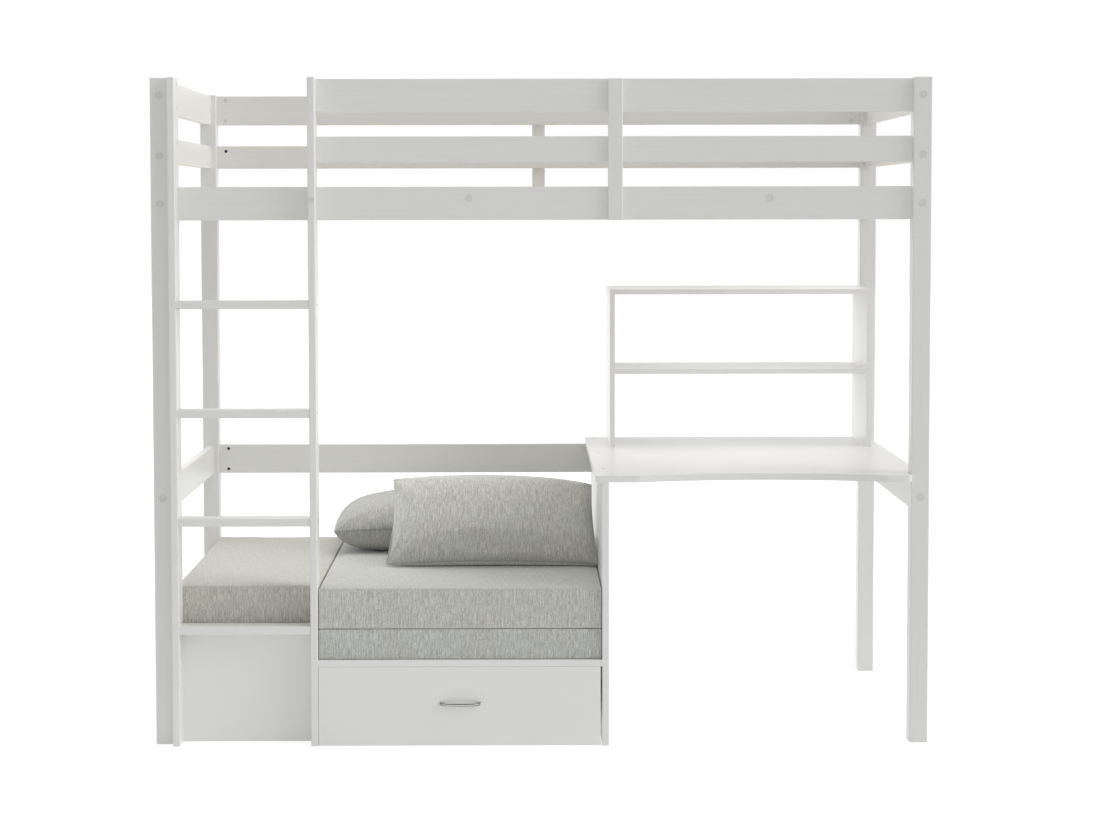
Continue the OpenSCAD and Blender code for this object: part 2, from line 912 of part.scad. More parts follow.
function cushion_ring(a, b, z, pull) = [
    for (k = [0:3])
        let (r = cushion_corner,
             cx = (k == 0 || k == 3) ? a - r : r - a,
             cy = k < 2 ? b - r : r - b,
             run = k % 2 == 0 ? 2 * (a - r) : 2 * (b - r),
             ahead = [cos(90 * k + 180), sin(90 * k + 180)])
            for (i = [0:corner_steps + side_steps - 1])
                let (on_side = max(0, i - corner_steps),
                     turn = 90 * k + 90 * min(i, corner_steps) / corner_steps,
                     share = on_side / side_steps,
                     out = [cos(90 * k + 90), sin(90 * k + 90)],
                     p = [cx, cy] + r * [cos(turn), sin(turn)] + ahead * run * share
                         - out * pull[k] * sin(180 * share))
                    [p[0], p[1], z]
];

// Rings from the middle of the underside, round the edges and up to the crown, as
// [distance in from the outline, height, share of the pull]
function cushion_rings(h, e, crown, inner) = concat(
    [for (s = [inner, inner / 3]) [s, 0, 0]],
    [for (t = [0:30:90]) [e * (1 - sin(t)), e * (1 - cos(t)), sin(t)]],
    [[0, h / 2, 1]],
    [for (t = [90:-30:0]) [e * (1 - sin(t)), h - e * (1 - cos(t)), sin(t)]],
    [for (s = [inner / 3, inner * 2 / 3, inner])
        [s, h + crown * sin(90 * s / inner), 0]]);

module cushion(x, d, z, pull, crown = cushion_crown) {
    a = (x[1] - x[0]) / 2;
    b = (d[1] - d[0]) / 2;
    h = z[1] - z[0];
    rings = cushion_rings(h, cushion_edge, crown, min(a, b) * 0.7);
    around = 4 * (corner_steps + side_steps);
    body = [
        for (ring = rings)
            for (p = cushion_ring(a - ring[0], b - ring[0], ring[1], pull * ring[2]))
                p
    ];
    count = len(body);
    points = concat(body, [[0, 0, 0], [0, 0, h + crown]]);
    last = (len(rings) - 1) * around;
    faces = concat(
        [for (i = [0:len(rings) - 2])
            for (k = [0:around - 1])
                let (p = i * around + k, q = i * around + (k + 1) % around)
                    for (f = [[p, q + around, q], [p, p + around, q + around]])
                        f],
        [for (k = [0:around - 1]) [count, k, (k + 1) % around]],
        [for (k = [0:around - 1]) [count + 1, last + (k + 1) % around, last + k]]);
    translate([(x[0] + x[1]) / 2, (d[0] + d[1]) / 2, z[0]])
        polyhedron(points, faces);
}

soft_x = [guard_left + 1.3, panel_x - 1.2];
soft_d = [-15, 921];

module seat_cushion_left() {
    in_place(seat_fabric)
        cushion([-inner_x + 2, guard_left + 0.7], [ladder_back + 0.5, seat_back - 2],
                [box_top + 1, seat_top], [2, 2, -7, 2]);
}

module seat_cushion_lower() {
    in_place(seat_fabric)
        cushion(soft_x, soft_d, [seat_board_z + 0.3, box_top], [2, 2, -1, 2], 0);
}

module seat_cushion_top() {
    in_place(seat_fabric)
        cushion(soft_x, soft_d, [box_top + 0.6, seat_top], [2, 2, -1, 2]);
}

// A pillow is two crowned skins that meet in one seam. A point (u, v) of the skin, each from
// -1 to 1, lies size[0]*u along and size[1]*v across, and stands off the seam's plane by
// (1 - |u|^2.6)^0.5 (1 - |v|^2.6)^0.5, times size[2] in front and size[3] behind. Its ends are
// drawn in midway between the corners by pinch[0] at the left and pinch[1] at the right. It leans
// back by tilt, and its corners then sink by droop[0], and at the top right by droop[1] more
pillow_u = 16;
pillow_v = 12;

function pillow_rise(s) = pow(max(0, 1 - pow(abs(s), 2.6)), 0.5);

function lean(p, tilt) =
    [p[0], p[1] * cos(tilt) - p[2] * sin(tilt), p[1] * sin(tilt) + p[2] * cos(tilt)];

function pillow_point(i, j, side, size, pinch, droop, tilt) =
    let (u = sin(90 * (2 * i / pillow_u - 1)),
         v = sin(90 * (2 * j / pillow_v - 1)),
         draw = u < 0 ? pinch[0] : pinch[1],
         thick = side > 0 ? size[2] : -size[3],
         fall = droop[0] * u * u * v * v + droop[1] * pow((1 + u) * (1 + v) / 4, 3))
        lean([u * (size[0] - draw * (1 - v * v) * u * u),
              v * size[1],
              thick * pillow_rise(u) * pillow_rise(v)], tilt) - [0, 0, fall];

function on_rim(i, j) = i == 0 || j == 0 || i == pillow_u || j == pillow_v;

// Each square is cut by the diagonal that points to the nearest corner, so that no triangle has
// all its points on the seam. Points are numbered through the upper skin's grid first, then
// through the lower skin's points inside the rim
function pillow_index(i, j, side) =
    side > 0 || on_rim(i, j) ? i * (pillow_v + 1) + j
  : (pillow_u + 1) * (pillow_v + 1) + (i - 1) * (pillow_v - 1) + j - 1;

// The pillow is turned by yaw about the upright through its centre, and flattened at rest_z
module pillow(centre, size, pinch, droop, tilt, yaw, rest_z) {
    upper = [for (i = [0:pillow_u]) for (j = [0:pillow_v])
        pillow_point(i, j, 1, size, pinch, droop, tilt)];
    lower = [for (i = [1:pillow_u - 1]) for (j = [1:pillow_v - 1])
        pillow_point(i, j, -1, size, pinch, droop, tilt)];
    floor_z = rest_z - centre[2];
    points = [for (p = concat(upper, lower)) [p[0], p[1], max(p[2], floor_z)]];
    faces = [
        for (side = [1, -1])
            for (i = [0:pillow_u - 1])
                for (j = [0:pillow_v - 1])
                    let (a = pillow_index(i, j, side),
                         b = pillow_index(i + 1, j, side),
                         c = pillow_index(i + 1, j + 1, side),
                         e = pillow_index(i, j + 1, side),
                         to_corner = (i < pillow_u / 2) == (j < pillow_v / 2),
                         pair = to_corner ? [[a, e, c], [a, c, b]] : [[a, e, b], [e, c, b]])
                        for (f = pair)
                            side > 0 ? f : [f[2], f[1], f[0]]
    ];
    translate(centre)
        rotate([0, 0, yaw])
            polyhedron(points, faces);
}

pillow_rest = seat_top + cushion_crown + 0.3;

module pillow_front() {
    in_place(pillow_fabric)
        pillow([-138, 413, 560.8], [300, 131, 74, 104], [13, 3], [12, 14], 56.2, 0, pillow_rest);
}

module pillow_rear() {
    in_place(pillow_fabric)
        pillow([-305, 700, pillow_rest + 89], [300, 165, 88, 120], [-6, -6], [11, 0], 3.5, -3,
               pillow_rest);
}

// ---------------------------------------------------------------- the whole bed

post(true, true);  // post_front_left
post(true, false);  // post_front_right
post(false, true);  // post_back_left
post(false, false);  // post_back_right
bed_rail(true);  // bed_rail_front
bed_rail(false);  // bed_rail_back
top_guard(true);  // guard_rail_front_top
mid_guard(true);  // guard_rail_front_mid
guard_stile(true);  // guard_stile_front
top_guard(false);  // guard_rail_back_top
mid_guard(false);  // guard_rail_back_mid
guard_stile(false);  // guard_stile_back
cross_rail(true, top_rail_z, wide_rail, top_c);  // end_rail_left_top
cross_rail(true, mid_rail_z, mid_rail, mid_c - mid_drop);  // end_rail_left_mid
cross_rail(true, bed_rail_z, wide_rail, bed_c);  // end_rail_left_bed
cross_rail(true, low_rail_z, wide_rail, low_c);  // end_rail_left_low
cross_rail(false, top_rail_z, wide_rail, top_c);  // end_rail_right_top
cross_rail(false, mid_rail_z, mid_rail, mid_c - mid_drop);  // end_rail_right_mid
cross_rail(false, bed_rail_z, wide_rail, bed_c);  // end_rail_right_bed
cross_rail(false, low_rail_z, wide_rail, low_c);  // end_rail_right_low
low_back_rail();  // back_rail_low
slat_ledgers();
tie_beams();
slats();
stringer(true);  // ladder_stringer_left
stringer(false);  // ladder_stringer_right
rung(1);  // ladder_rung_1
rung(2);  // ladder_rung_2
rung(3);  // ladder_rung_3
rung(4);  // ladder_rung_4
desk_top();
desk_side_panel();
hutch_side(true);  // hutch_side_left
hutch_side(false);  // hutch_side_right
hutch_board(desk_z + hutch_h - hutch_t);  // hutch_top
hutch_board(shelf_z);  // hutch_shelf
seat_front_panel();
seat_side_panel();
seat_divider();
seat_rear_panel();
seat_board_left();
seat_board_right();
seat_bearers();
drawer_front();
drawer_side(true);  // drawer_side_left
drawer_side(false);  // drawer_side_right
drawer_back();
drawer_bottom();
drawer_handle();
castor_brackets();
castor_wheels(castor_d[0]);  // castor_wheels_front
castor_wheels(castor_d[1]);  // castor_wheels_rear
frame_bolts();
cross_dowels();
panel_screws();
seat_cushion_left();
seat_cushion_top();
seat_cushion_lower();
pillow_front();
pillow_rear();
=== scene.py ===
"""Finishes, upholstery, drawer front, handle and studio for the cabin bed.

The packed frame gives every wooden and metal part at its real size. This file gives them their
materials, makes the drawer front, its handle, the cushions and the pillows as surfaces, and sets
up the floor, the lamps and the camera. Lengths are in metres and angles in degrees.
"""

import json
import math

import bpy
import numpy as np
from mathutils import Matrix, Vector


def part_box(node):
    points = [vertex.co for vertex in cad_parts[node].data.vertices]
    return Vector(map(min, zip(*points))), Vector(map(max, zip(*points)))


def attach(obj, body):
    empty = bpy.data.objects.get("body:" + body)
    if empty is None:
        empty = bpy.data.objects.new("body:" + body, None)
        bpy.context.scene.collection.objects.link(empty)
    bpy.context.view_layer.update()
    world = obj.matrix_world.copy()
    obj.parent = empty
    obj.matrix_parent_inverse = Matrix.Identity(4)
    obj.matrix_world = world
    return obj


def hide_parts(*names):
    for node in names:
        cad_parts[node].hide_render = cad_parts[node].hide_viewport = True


bl_info = {
    "name": "Cabin Bed",
    "version": (1, 0, 0),
    "blender": (4, 5, 0),
    "location": "3D View > Sidebar > Bed",
    "description": "Finishes the cabin bed's frame and makes its soft parts and its studio",
    "category": "Object",
}

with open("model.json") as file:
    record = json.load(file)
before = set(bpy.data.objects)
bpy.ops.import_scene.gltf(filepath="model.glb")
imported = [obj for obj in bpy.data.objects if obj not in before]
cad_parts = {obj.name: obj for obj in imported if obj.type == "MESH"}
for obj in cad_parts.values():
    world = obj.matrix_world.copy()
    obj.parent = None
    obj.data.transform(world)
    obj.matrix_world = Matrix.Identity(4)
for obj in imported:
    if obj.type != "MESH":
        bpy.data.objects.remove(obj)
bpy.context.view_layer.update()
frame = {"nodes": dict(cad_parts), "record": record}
NODES = frame["nodes"]
SLOT_OF = {part["node"]: part["material_slot"] for part in frame["record"]["subparts"]}


# ---------------------------------------------------------------- colours and settings


def linear(red, green, blue):
    """Scene-linear colour of plain sRGB values from 0 to 1."""
    value = np.array([red, green, blue])
    low = value / 12.92
    high = ((value + 0.055) / 1.055) ** 2.4
    return tuple(float(v) for v in np.where(value <= 0.04045, low, high))


def colour(name, words, default):
    return bpy.props.FloatVectorProperty(
        name=name, description=words, size=3, subtype="COLOR", min=0.0, max=1.0, default=default
    )


def length(name, words, default):
    return bpy.props.FloatProperty(
        name=name, description=words, default=default, min=0.0, subtype="DISTANCE", unit="LENGTH"
    )


def share(name, words, default):
    return bpy.props.FloatProperty(
        name=name, description=words, default=default, min=0.0, max=1.0, subtype="FACTOR"
    )


def number(name, words, default):
    return bpy.props.FloatProperty(name=name, description=words, default=default)


class BedFinish(bpy.types.PropertyGroup):
    """Lacquer, bare wood, metal and plastic"""

    wood: colour("Lacquered wood", "Lacquer on posts, rails and ladder", linear(0.93, 0.93, 0.92))
    board: colour("Lacquered board", "Lacquer on boards and panels", linear(0.945, 0.945, 0.942))
    pine: colour("Bare pine", "Wood of the slats", linear(0.89, 0.85, 0.78))
    pine_dark: colour("Pine grain", "Late wood in the slats", linear(0.82, 0.76, 0.66))
    bolt: colour("Bolt heads", "Enamel on the bolt heads", linear(0.90, 0.90, 0.89))
    steel: colour("Polished steel", "Handle", linear(0.86, 0.86, 0.84))
    zinc: colour("Zinc", "Screws and castor brackets", linear(0.70, 0.71, 0.72))
    # The dowel tone is painted shade: steel darkened like the inside of a recessed hole.
    dowel_shade: colour("Dowels", "Burnished steel of the cross dowels", linear(0.30, 0.30, 0.29))
    wheel: colour("Castor wheels", "Moulded wheels", linear(0.27, 0.28, 0.29))
    gloss: share("Lacquer roughness", "Roughness of the lacquer", 0.38)
    grain: length("Grain relief", "Height of the wood grain under the lacquer", 0.00006)


class BedFabric(bpy.types.PropertyGroup):
    """Woven cover of the cushions and pillows"""

    pale: colour("Pale yarn", "Lightest yarn", linear(0.905, 0.91, 0.89))
    dark: colour("Dark yarn", "Darkest yarn", linear(0.69, 0.70, 0.675))
    warm: colour("Warm yarn", "Beige that drifts through the cloth", linear(0.90, 0.89, 0.855))
    slub_width: length("Slub width", "Width of a thick place in the yarn", 0.0018)
    slub_length: length("Slub length", "Length of a thick place in the yarn", 0.021)
    relief: length("Relief", "Height of the weave", 0.0005)


class BedSoft(bpy.types.PropertyGroup):
    """Shape of the cushions and pillows"""

    edge: length("Cushion edge", "Rounding of a cushion's edges", 0.004)
    cell: length("Cloth cell", "Spacing of the cloth's points on a cushion", 0.011)
    pressure: number("Pressure", "Air pressure in the cloth", 4.0)
    swell: length("Swell", "Most that a cushion's cloth may move", 0.005)
    puff: length("Puff", "Most that a pillow's cloth may move", 0.003)
    seam: length("Seam depth", "How far a cushion's seam is drawn in", 0.0004)
    tuck: length("Tuck", "How far a pillow's seam is drawn in", 0.001)
    blunt: length("Blunt corners", "How far a pillow's corners are drawn in", 0.001)


class BedHandle(bpy.types.PropertyGroup):
    """Bow handle of the drawer"""

    pitch: length("Pitch", "Distance between the feet", 0.099)
    proud: length("Proud", "From the drawer front to the middle of the bar", 0.0194)
    bend: length("Bend", "Length of the bend at each end, along the bar", 0.022)
    bow: length("Bow", "How much further the middle stands out", 0.003)
    bar: length("Bar radius", "Radius of the bar", 0.0046)
    foot: length("Foot radius", "Radius of each foot", 0.0065)


class BedStudio(bpy.types.PropertyGroup):
    """Camera, lamps and floor"""

    distance: length("Distance", "From the camera to the middle of the bed", 6.4135)
    height: length("Height", "Height of the camera", 1.466)
    aside: number("Aside", "Place of the camera along the bed", -0.054)
    tilt: number("Tilt", "Degrees that the camera looks down", 3.0)
    yaw: number("Yaw", "Degrees that the camera looks to the right", 0.187)
    roll: number("Roll", "Degrees that the camera leans", -0.094)
    lens: number("Lens", "Focal length in millimetres", 72.0)
    shift_x: number("Shift X", "Sideways shift of the lens", 0.0193)
    shift_y: number("Shift Y", "Upright shift of the lens", -0.0816)
    sky: number("Sky", "Strength of the even light", 0.50)
    right: number("Right lamp", "Strength of the broad lamp on the right", 1.4)
    back: number("Back lamp", "Strength of the broad lamp behind on the left", 1.05)
    seat: number("Seat lamp", "Watts of the soft box over the seat", 1.3)
    desk: number("Desk lamp", "Watts of the soft box over the desk", 0.45)
    bounce: number("Floor bounce", "Strength of the light that the floor gives back", 0.19)


GROUPS = {
    "bed_finish": BedFinish,
    "bed_fabric": BedFabric,
    "bed_soft": BedSoft,
    "bed_handle": BedHandle,
    "bed_studio": BedStudio,
}


# ---------------------------------------------------------------- node helpers


def socket(tree, name, kind="NodeSocketFloat", output=False, default=None):
    """Adds a named input or output to a node group."""
    way = "OUTPUT" if output else "INPUT"
    made = tree.interface.new_socket(name=name, in_out=way, socket_type=kind)
    if default is not None:
        made.default_value = default
    return made


def node(tree, kind, inputs=None, **settings):
    """Adds a node, sets its properties, and fills its inputs with values or with links."""
    made = tree.nodes.new(kind)
    for name, value in settings.items():
        setattr(made, name, value)
    for name, value in (inputs or {}).items():
        if isinstance(value, bpy.types.NodeSocket):
            tree.links.new(value, made.inputs[name])
        else:
            made.inputs[name].default_value = value
    return made


def new_group(name):
    tree = bpy.data.node_groups.new(name, "ShaderNodeTree")
    start = tree.nodes.new("NodeGroupInput")
    end = tree.nodes.new("NodeGroupOutput")
    return tree, start, end


def math_node(tree, operation, first, second):
    made = node(tree, "ShaderNodeMath", {0: first, 1: second}, operation=operation)
    return made.outputs[0]


def weighed(tree, pairs):
    """Sum of values, each times its weight."""
    total = None
    for value, weight in pairs:
        part = math_node(tree, "MULTIPLY", value, weight)
        total = part if total is None else math_node(tree, "ADD", total, part)
    return total


def mixed(tree, factor, first, second):
    """Mixes two colours by a factor."""
    made = tree.nodes.new("ShaderNodeMix")
    made.data_type = "RGBA"
    for index, value in ((0, factor), (6, first), (7, second)):
        if isinstance(value, bpy.types.NodeSocket):
            tree.links.new(value, made.inputs[index])
        elif index:
            made.inputs[index].default_value = (*value[:3], 1.0)
        else:
            made.inputs[index].default_value = value
    return made.outputs[2]


def stretched(tree, vector, scale):
    return node(tree, "ShaderNodeMapping", {"Vector": vector, "Scale": scale}).outputs[0]


def noise(tree, vector, scale, detail=2.0, rough=0.5):
    made = node(
        tree,
        "ShaderNodeTexNoise",
        {"Vector": vector, "Scale": scale, "Detail": detail, "Roughness": rough},
    )
    return made.outputs["Fac"]


def ranged(tree, value, low, high, to_low=0.0, to_high=1.0):
    made = node(
        tree,
        "ShaderNodeMapRange",
        {"Value": value, "From Min": low, "From Max": high, "To Min": to_low, "To Max": to_high},
    )
    return made.outputs[0]


# ---------------------------------------------------------------- shared effects


def grain_group():
    """Wood grain along X: noise drawn out 60 times along the board, with broad tone drift."""
    tree, start, end = new_group("Wood grain")
    socket(tree, "Vector", "NodeSocketVector")
    socket(tree, "Pale", "NodeSocketColor", default=(0.8, 0.8, 0.8, 1.0))
    socket(tree, "Dark", "NodeSocketColor", default=(0.7, 0.7, 0.7, 1.0))
    socket(tree, "Color", "NodeSocketColor", output=True)
    socket(tree, "Height", output=True)
    vector = start.outputs["Vector"]
    rings = noise(tree, stretched(tree, vector, (2.5, 150.0, 150.0)), 1.0, 3.0, 0.6)
    pores = noise(tree, stretched(tree, vector, (12.0, 1400.0, 1400.0)), 1.0, 1.0)
    drift = noise(tree, vector, 1.7, 1.0)
    late = ranged(tree, rings, 0.42, 0.68)
    shade = math_node(tree, "MULTIPLY", late, ranged(tree, drift, 0.3, 0.7, 0.6, 1.0))
    tone = mixed(tree, shade, start.outputs["Pale"], start.outputs["Dark"])
    tree.links.new(tone, end.inputs["Color"])
    relief = math_node(tree, "MULTIPLY", pores, 0.35)
    tree.links.new(math_node(tree, "ADD", late, relief), end.inputs["Height"])
    return tree


def handling_group():
    """Faint cloudy marks of handling: a mask from 0 to 1 that breaks up the gloss."""
    tree, start, end = new_group("Handling marks")
    socket(tree, "Vector", "NodeSocketVector")
    socket(tree, "Amount", default=0.1)
    socket(tree, "Roughness", default=0.4)
    socket(tree, "Roughness", output=True)
    clouds = noise(tree, start.outputs["Vector"], 5.0, 4.0, 0.6)
    fine = noise(tree, start.outputs["Vector"], 60.0, 2.0, 0.5)
    both = weighed(tree, ((clouds, 0.7), (fine, 0.3)))
    centred = math_node(tree, "SUBTRACT", both, 0.5)
    swing = math_node(tree, "MULTIPLY", centred, start.outputs["Amount"])
    rough = math_node(tree, "ADD", start.outputs["Roughness"], swing)
    tree.links.new(rough, end.inputs["Roughness"])
    return tree


# Noises of the melange: stretch of the slubs, detail, roughness and weight.
MELANGE = (
    ((1.0, 1.0, 1.0), 1.0, 0.6, 0.42),
    ((1.6, 4.0, 1.0), 1.0, 0.5, 0.33),
    ((1.2, 0.35, 1.0), 0.0, 0.5, 0.25),
)
YARN_SPACING = 0.0013


def weave_group():
    """Melange cloth in lengths of cloth: X across the yarn and Y along it.

    Slubs are noise drawn out along the yarn at three lengths; beige drifts through in wide patches;
    the height adds a fine plain weave, the product of two sine waves one yarn apart.
    """
    tree, start, end = new_group("Melange weave")
    socket(tree, "Vector", "NodeSocketVector")
    for name in ("Pale", "Dark", "Warm"):
        socket(tree, name, "NodeSocketColor", default=(0.5, 0.5, 0.5, 1.0))
    socket(tree, "Slub width", default=0.003)
    socket(tree, "Slub length", default=0.016)
    socket(tree, "Color", "NodeSocketColor", output=True)
    socket(tree, "Height", output=True)
    parts = node(tree, "ShaderNodeSeparateXYZ", {0: start.outputs["Vector"]})
    across = math_node(tree, "DIVIDE", parts.outputs[0], start.outputs["Slub width"])
    along = math_node(tree, "DIVIDE", parts.outputs[1], start.outputs["Slub length"])
    place = {0: across, 1: along, 2: parts.outputs[2]}
    slubs = node(tree, "ShaderNodeCombineXYZ", place).outputs[0]
    noises = [
        (noise(tree, stretched(tree, slubs, stretch), 1.0, detail, rough), weight)
        for stretch, detail, rough, weight in MELANGE
    ]
    tone = ranged(tree, weighed(tree, noises), 0.41, 0.59)
    patch = noise(tree, start.outputs["Vector"], 9.0, 2.0)
    beige = ranged(tree, patch, 0.42, 0.66, 0.0, 0.75)
    ground = mixed(tree, beige, start.outputs["Pale"], start.outputs["Warm"])
    tree.links.new(mixed(tree, tone, start.outputs["Dark"], ground), end.inputs["Color"])
    yarn = 2.0 * math.pi / YARN_SPACING
    warp = math_node(tree, "SINE", math_node(tree, "MULTIPLY", parts.outputs[0], yarn), 0.0)
    weft = math_node(tree, "SINE", math_node(tree, "MULTIPLY", parts.outputs[1], yarn), 0.0)
    plain = math_node(tree, "MULTIPLY", math_node(tree, "MULTIPLY", warp, weft), 0.3)
    tree.links.new(math_node(tree, "ADD", tone, plain), end.inputs["Height"])
    return tree


SHARED = {}


def shared(name):
    """Builds a shared effect once and returns it."""
    makers = {"grain": grain_group, "handling": handling_group, "weave": weave_group}
    if name not in SHARED:
        SHARED[name] = makers[name]()
    return SHARED[name]


def placed(tree, name, inputs):
    made = tree.nodes.new("ShaderNodeGroup")
    made.node_tree = shared(name)
    for key, value in inputs.items():
        if isinstance(value, bpy.types.NodeSocket):
            tree.links.new(value, made.inputs[key])
        elif isinstance(value, float):
            made.inputs[key].default_value = value
        else:
            made.inputs[key].default_value = (*value[:3], 1.0)
    return made


# ---------------------------------------------------------------- materials


def new_material(name):
    material = bpy.data.materials.new(name)
    material.use_nodes = True
    tree = material.node_tree
    return material, tree, tree.nodes["Principled BSDF"]


def bumped(tree, shader, height, distance, strength=1.0):
    inputs = {"Height": height, "Distance": distance, "Strength": strength}
    bump = node(tree, "ShaderNodeBump", inputs)
    tree.links.new(bump.outputs[0], shader.inputs["Normal"])


def object_place(tree):
    return tree.nodes.new("ShaderNodeTexCoord").outputs["Object"]


def facing_up(tree):
    """1 where the surface faces up, 0 where it stands upright and -1 where it faces down."""
    geometry = tree.nodes.new("ShaderNodeNewGeometry")
    return node(tree, "ShaderNodeSeparateXYZ", {0: geometry.outputs["Normal"]}).outputs[2]


def marked_gloss(tree, shader, vector, amount, roughness):
    """Breaks up the gloss of a shader with faint marks of handling."""
    inputs = {"Vector": vector, "Amount": amount, "Roughness": roughness}
    marks = placed(tree, "handling", inputs)
    tree.links.new(marks.outputs["Roughness"], shader.inputs["Roughness"])


def turned(tree, vector, way):
    """Turns the pattern so that its X runs along the board."""
    turns = {"x": (0.0, 0.0, 0.0), "y": (0.0, 0.0, math.pi / 2), "z": (0.0, math.pi / 2, 0.0)}
    return node(tree, "ShaderNodeMapping", {"Vector": vector, "Rotation": turns[way]}).outputs[0]


def lacquered_wood(way, finish):
    """White lacquer over planed pine whose grain runs along way."""
    material, tree, shader = new_material("Lacquered wood " + way)
    along = turned(tree, object_place(tree), way)
    dark = tuple(0.975 * v for v in finish.wood)
    grain = placed(tree, "grain", {"Vector": along, "Pale": tuple(finish.wood), "Dark": dark})
    tree.links.new(grain.outputs["Color"], shader.inputs["Base Color"])
    marked_gloss(tree, shader, along, 0.16, finish.gloss)
    bumped(tree, shader, grain.outputs["Height"], finish.grain)
    return material


def lacquered_board(finish):
    """White lacquer rolled on smooth board: a fine even orange-peel."""
    material, tree, shader = new_material("Lacquered board")
    place = object_place(tree)
    peel = noise(tree, place, 260.0, 2.0)
    drift = ranged(tree, noise(tree, place, 2.2, 2.0), 0.3, 0.7)
    dark = tuple(0.985 * v for v in finish.board)
    tree.links.new(mixed(tree, drift, tuple(finish.board), dark), shader.inputs["Base Color"])
    marked_gloss(tree, shader, place, 0.12, finish.gloss - 0.06)
    bumped(tree, shader, peel, 0.00002)
    return material


def bare_pine(finish):
    """Planed pine slats, their grain across the bed."""
    material, tree, shader = new_material("Bare pine")
    along = turned(tree, object_place(tree), "y")
    inputs = {"Vector": along, "Pale": tuple(finish.pine), "Dark": tuple(finish.pine_dark)}
    grain = placed(tree, "grain", inputs)
    tree.links.new(grain.outputs["Color"], shader.inputs["Base Color"])
    shader.inputs["Roughness"].default_value = 0.62
    bumped(tree, shader, grain.outputs["Height"], 0.0001)
    return material


def metal(name, tint, roughness, metallic, brush):
    """Metal with fine brushing; brush is the length of its strokes over their width."""
    material, tree, shader = new_material(name)
    place = object_place(tree)
    strokes = noise(tree, stretched(tree, place, (300.0, 300.0 * brush, 300.0 * brush)), 1.0, 2.0)
    dark = tuple(0.9 * v for v in tint)
    tree.links.new(mixed(tree, strokes, dark, tuple(tint)), shader.inputs["Base Color"])
    marked_gloss(tree, shader, place, 0.2, roughness)
    shader.inputs["Metallic"].default_value = metallic
    bumped(tree, shader, strokes, 0.00001)
    return material


# Painted reflection of the handle: which way its surface faces, from down at -1 to up at 1, and its
# share of the tone.
BAR_PAINTED_REFLECTION = (
    (-1.0, 0.8),
    (-0.78, 0.28),
    (-0.45, 0.28),
    (-0.28, 0.85),
    (0.08, 0.85),
    (0.25, 0.04),
    (0.56, 0.04),
    (0.70, 1.0),
)


def polished_bar(finish):
    """Polished steel with a painted reflection: dark lines along the bar, painted into its colour
    as if it mirrored a room; its tone follows the way the surface faces, by BAR_PAINTED_REFLECTION."""
    material, tree, shader = new_material("Polished steel")
    ramp = node(tree, "ShaderNodeValToRGB", {0: ranged(tree, facing_up(tree), -1.0, 1.0)})
    elements = ramp.color_ramp.elements
    while len(elements) < len(BAR_PAINTED_REFLECTION):
        elements.new(0.5)
    for element, (facing, tone) in zip(elements, BAR_PAINTED_REFLECTION):
        element.position = (facing + 1) / 2
        element.color = (*(tone * v for v in finish.steel), 1.0)
    tree.links.new(ramp.outputs["Color"], shader.inputs["Base Color"])
    marked_gloss(tree, shader, object_place(tree), 0.1, 0.16)
    shader.inputs["Metallic"].default_value = 1.0
    return material


# The back top rail lies above this height and behind this depth.
CAPPED_ABOVE = 1.68
CAPPED_BEHIND = 0.47


def dowel_ends(finish):
    """Steel ends of the cross dowels, darkened as painted shade of their recessed holes, with white
    caps on those of the back top rail.
    """
    material, tree, shader = new_material("Dowel ends")
    place = object_place(tree)
    parts = node(tree, "ShaderNodeSeparateXYZ", {0: place})
    above = ranged(tree, parts.outputs[2], CAPPED_ABOVE, CAPPED_ABOVE + 0.001)
    behind = ranged(tree, parts.outputs[1], CAPPED_BEHIND, CAPPED_BEHIND + 0.001)
    cap = math_node(tree, "MULTIPLY", above, behind)
    # Painted shade: the dark tone stands for the shade in the dowel holes; the caps stay white.
    tone = mixed(tree, cap, tuple(finish.dowel_shade), tuple(finish.bolt))
    tree.links.new(tone, shader.inputs["Base Color"])
    tree.links.new(ranged(tree, cap, 0.0, 1.0, 1.0, 0.0), shader.inputs["Metallic"])
    marked_gloss(tree, shader, place, 0.2, 0.45)
    return material


def moulded_plastic(finish):
    """Matt moulded plastic with a fine spark-eroded texture."""
    material, tree, shader = new_material("Wheel plastic")
    place = object_place(tree)
    speck = noise(tree, place, 1800.0, 1.0)
    dark = tuple(0.8 * v for v in finish.wheel)
    tree.links.new(mixed(tree, speck, dark, tuple(finish.wheel)), shader.inputs["Base Color"])
    marked_gloss(tree, shader, place, 0.15, 0.55)
    bumped(tree, shader, speck, 0.00003)
    return material


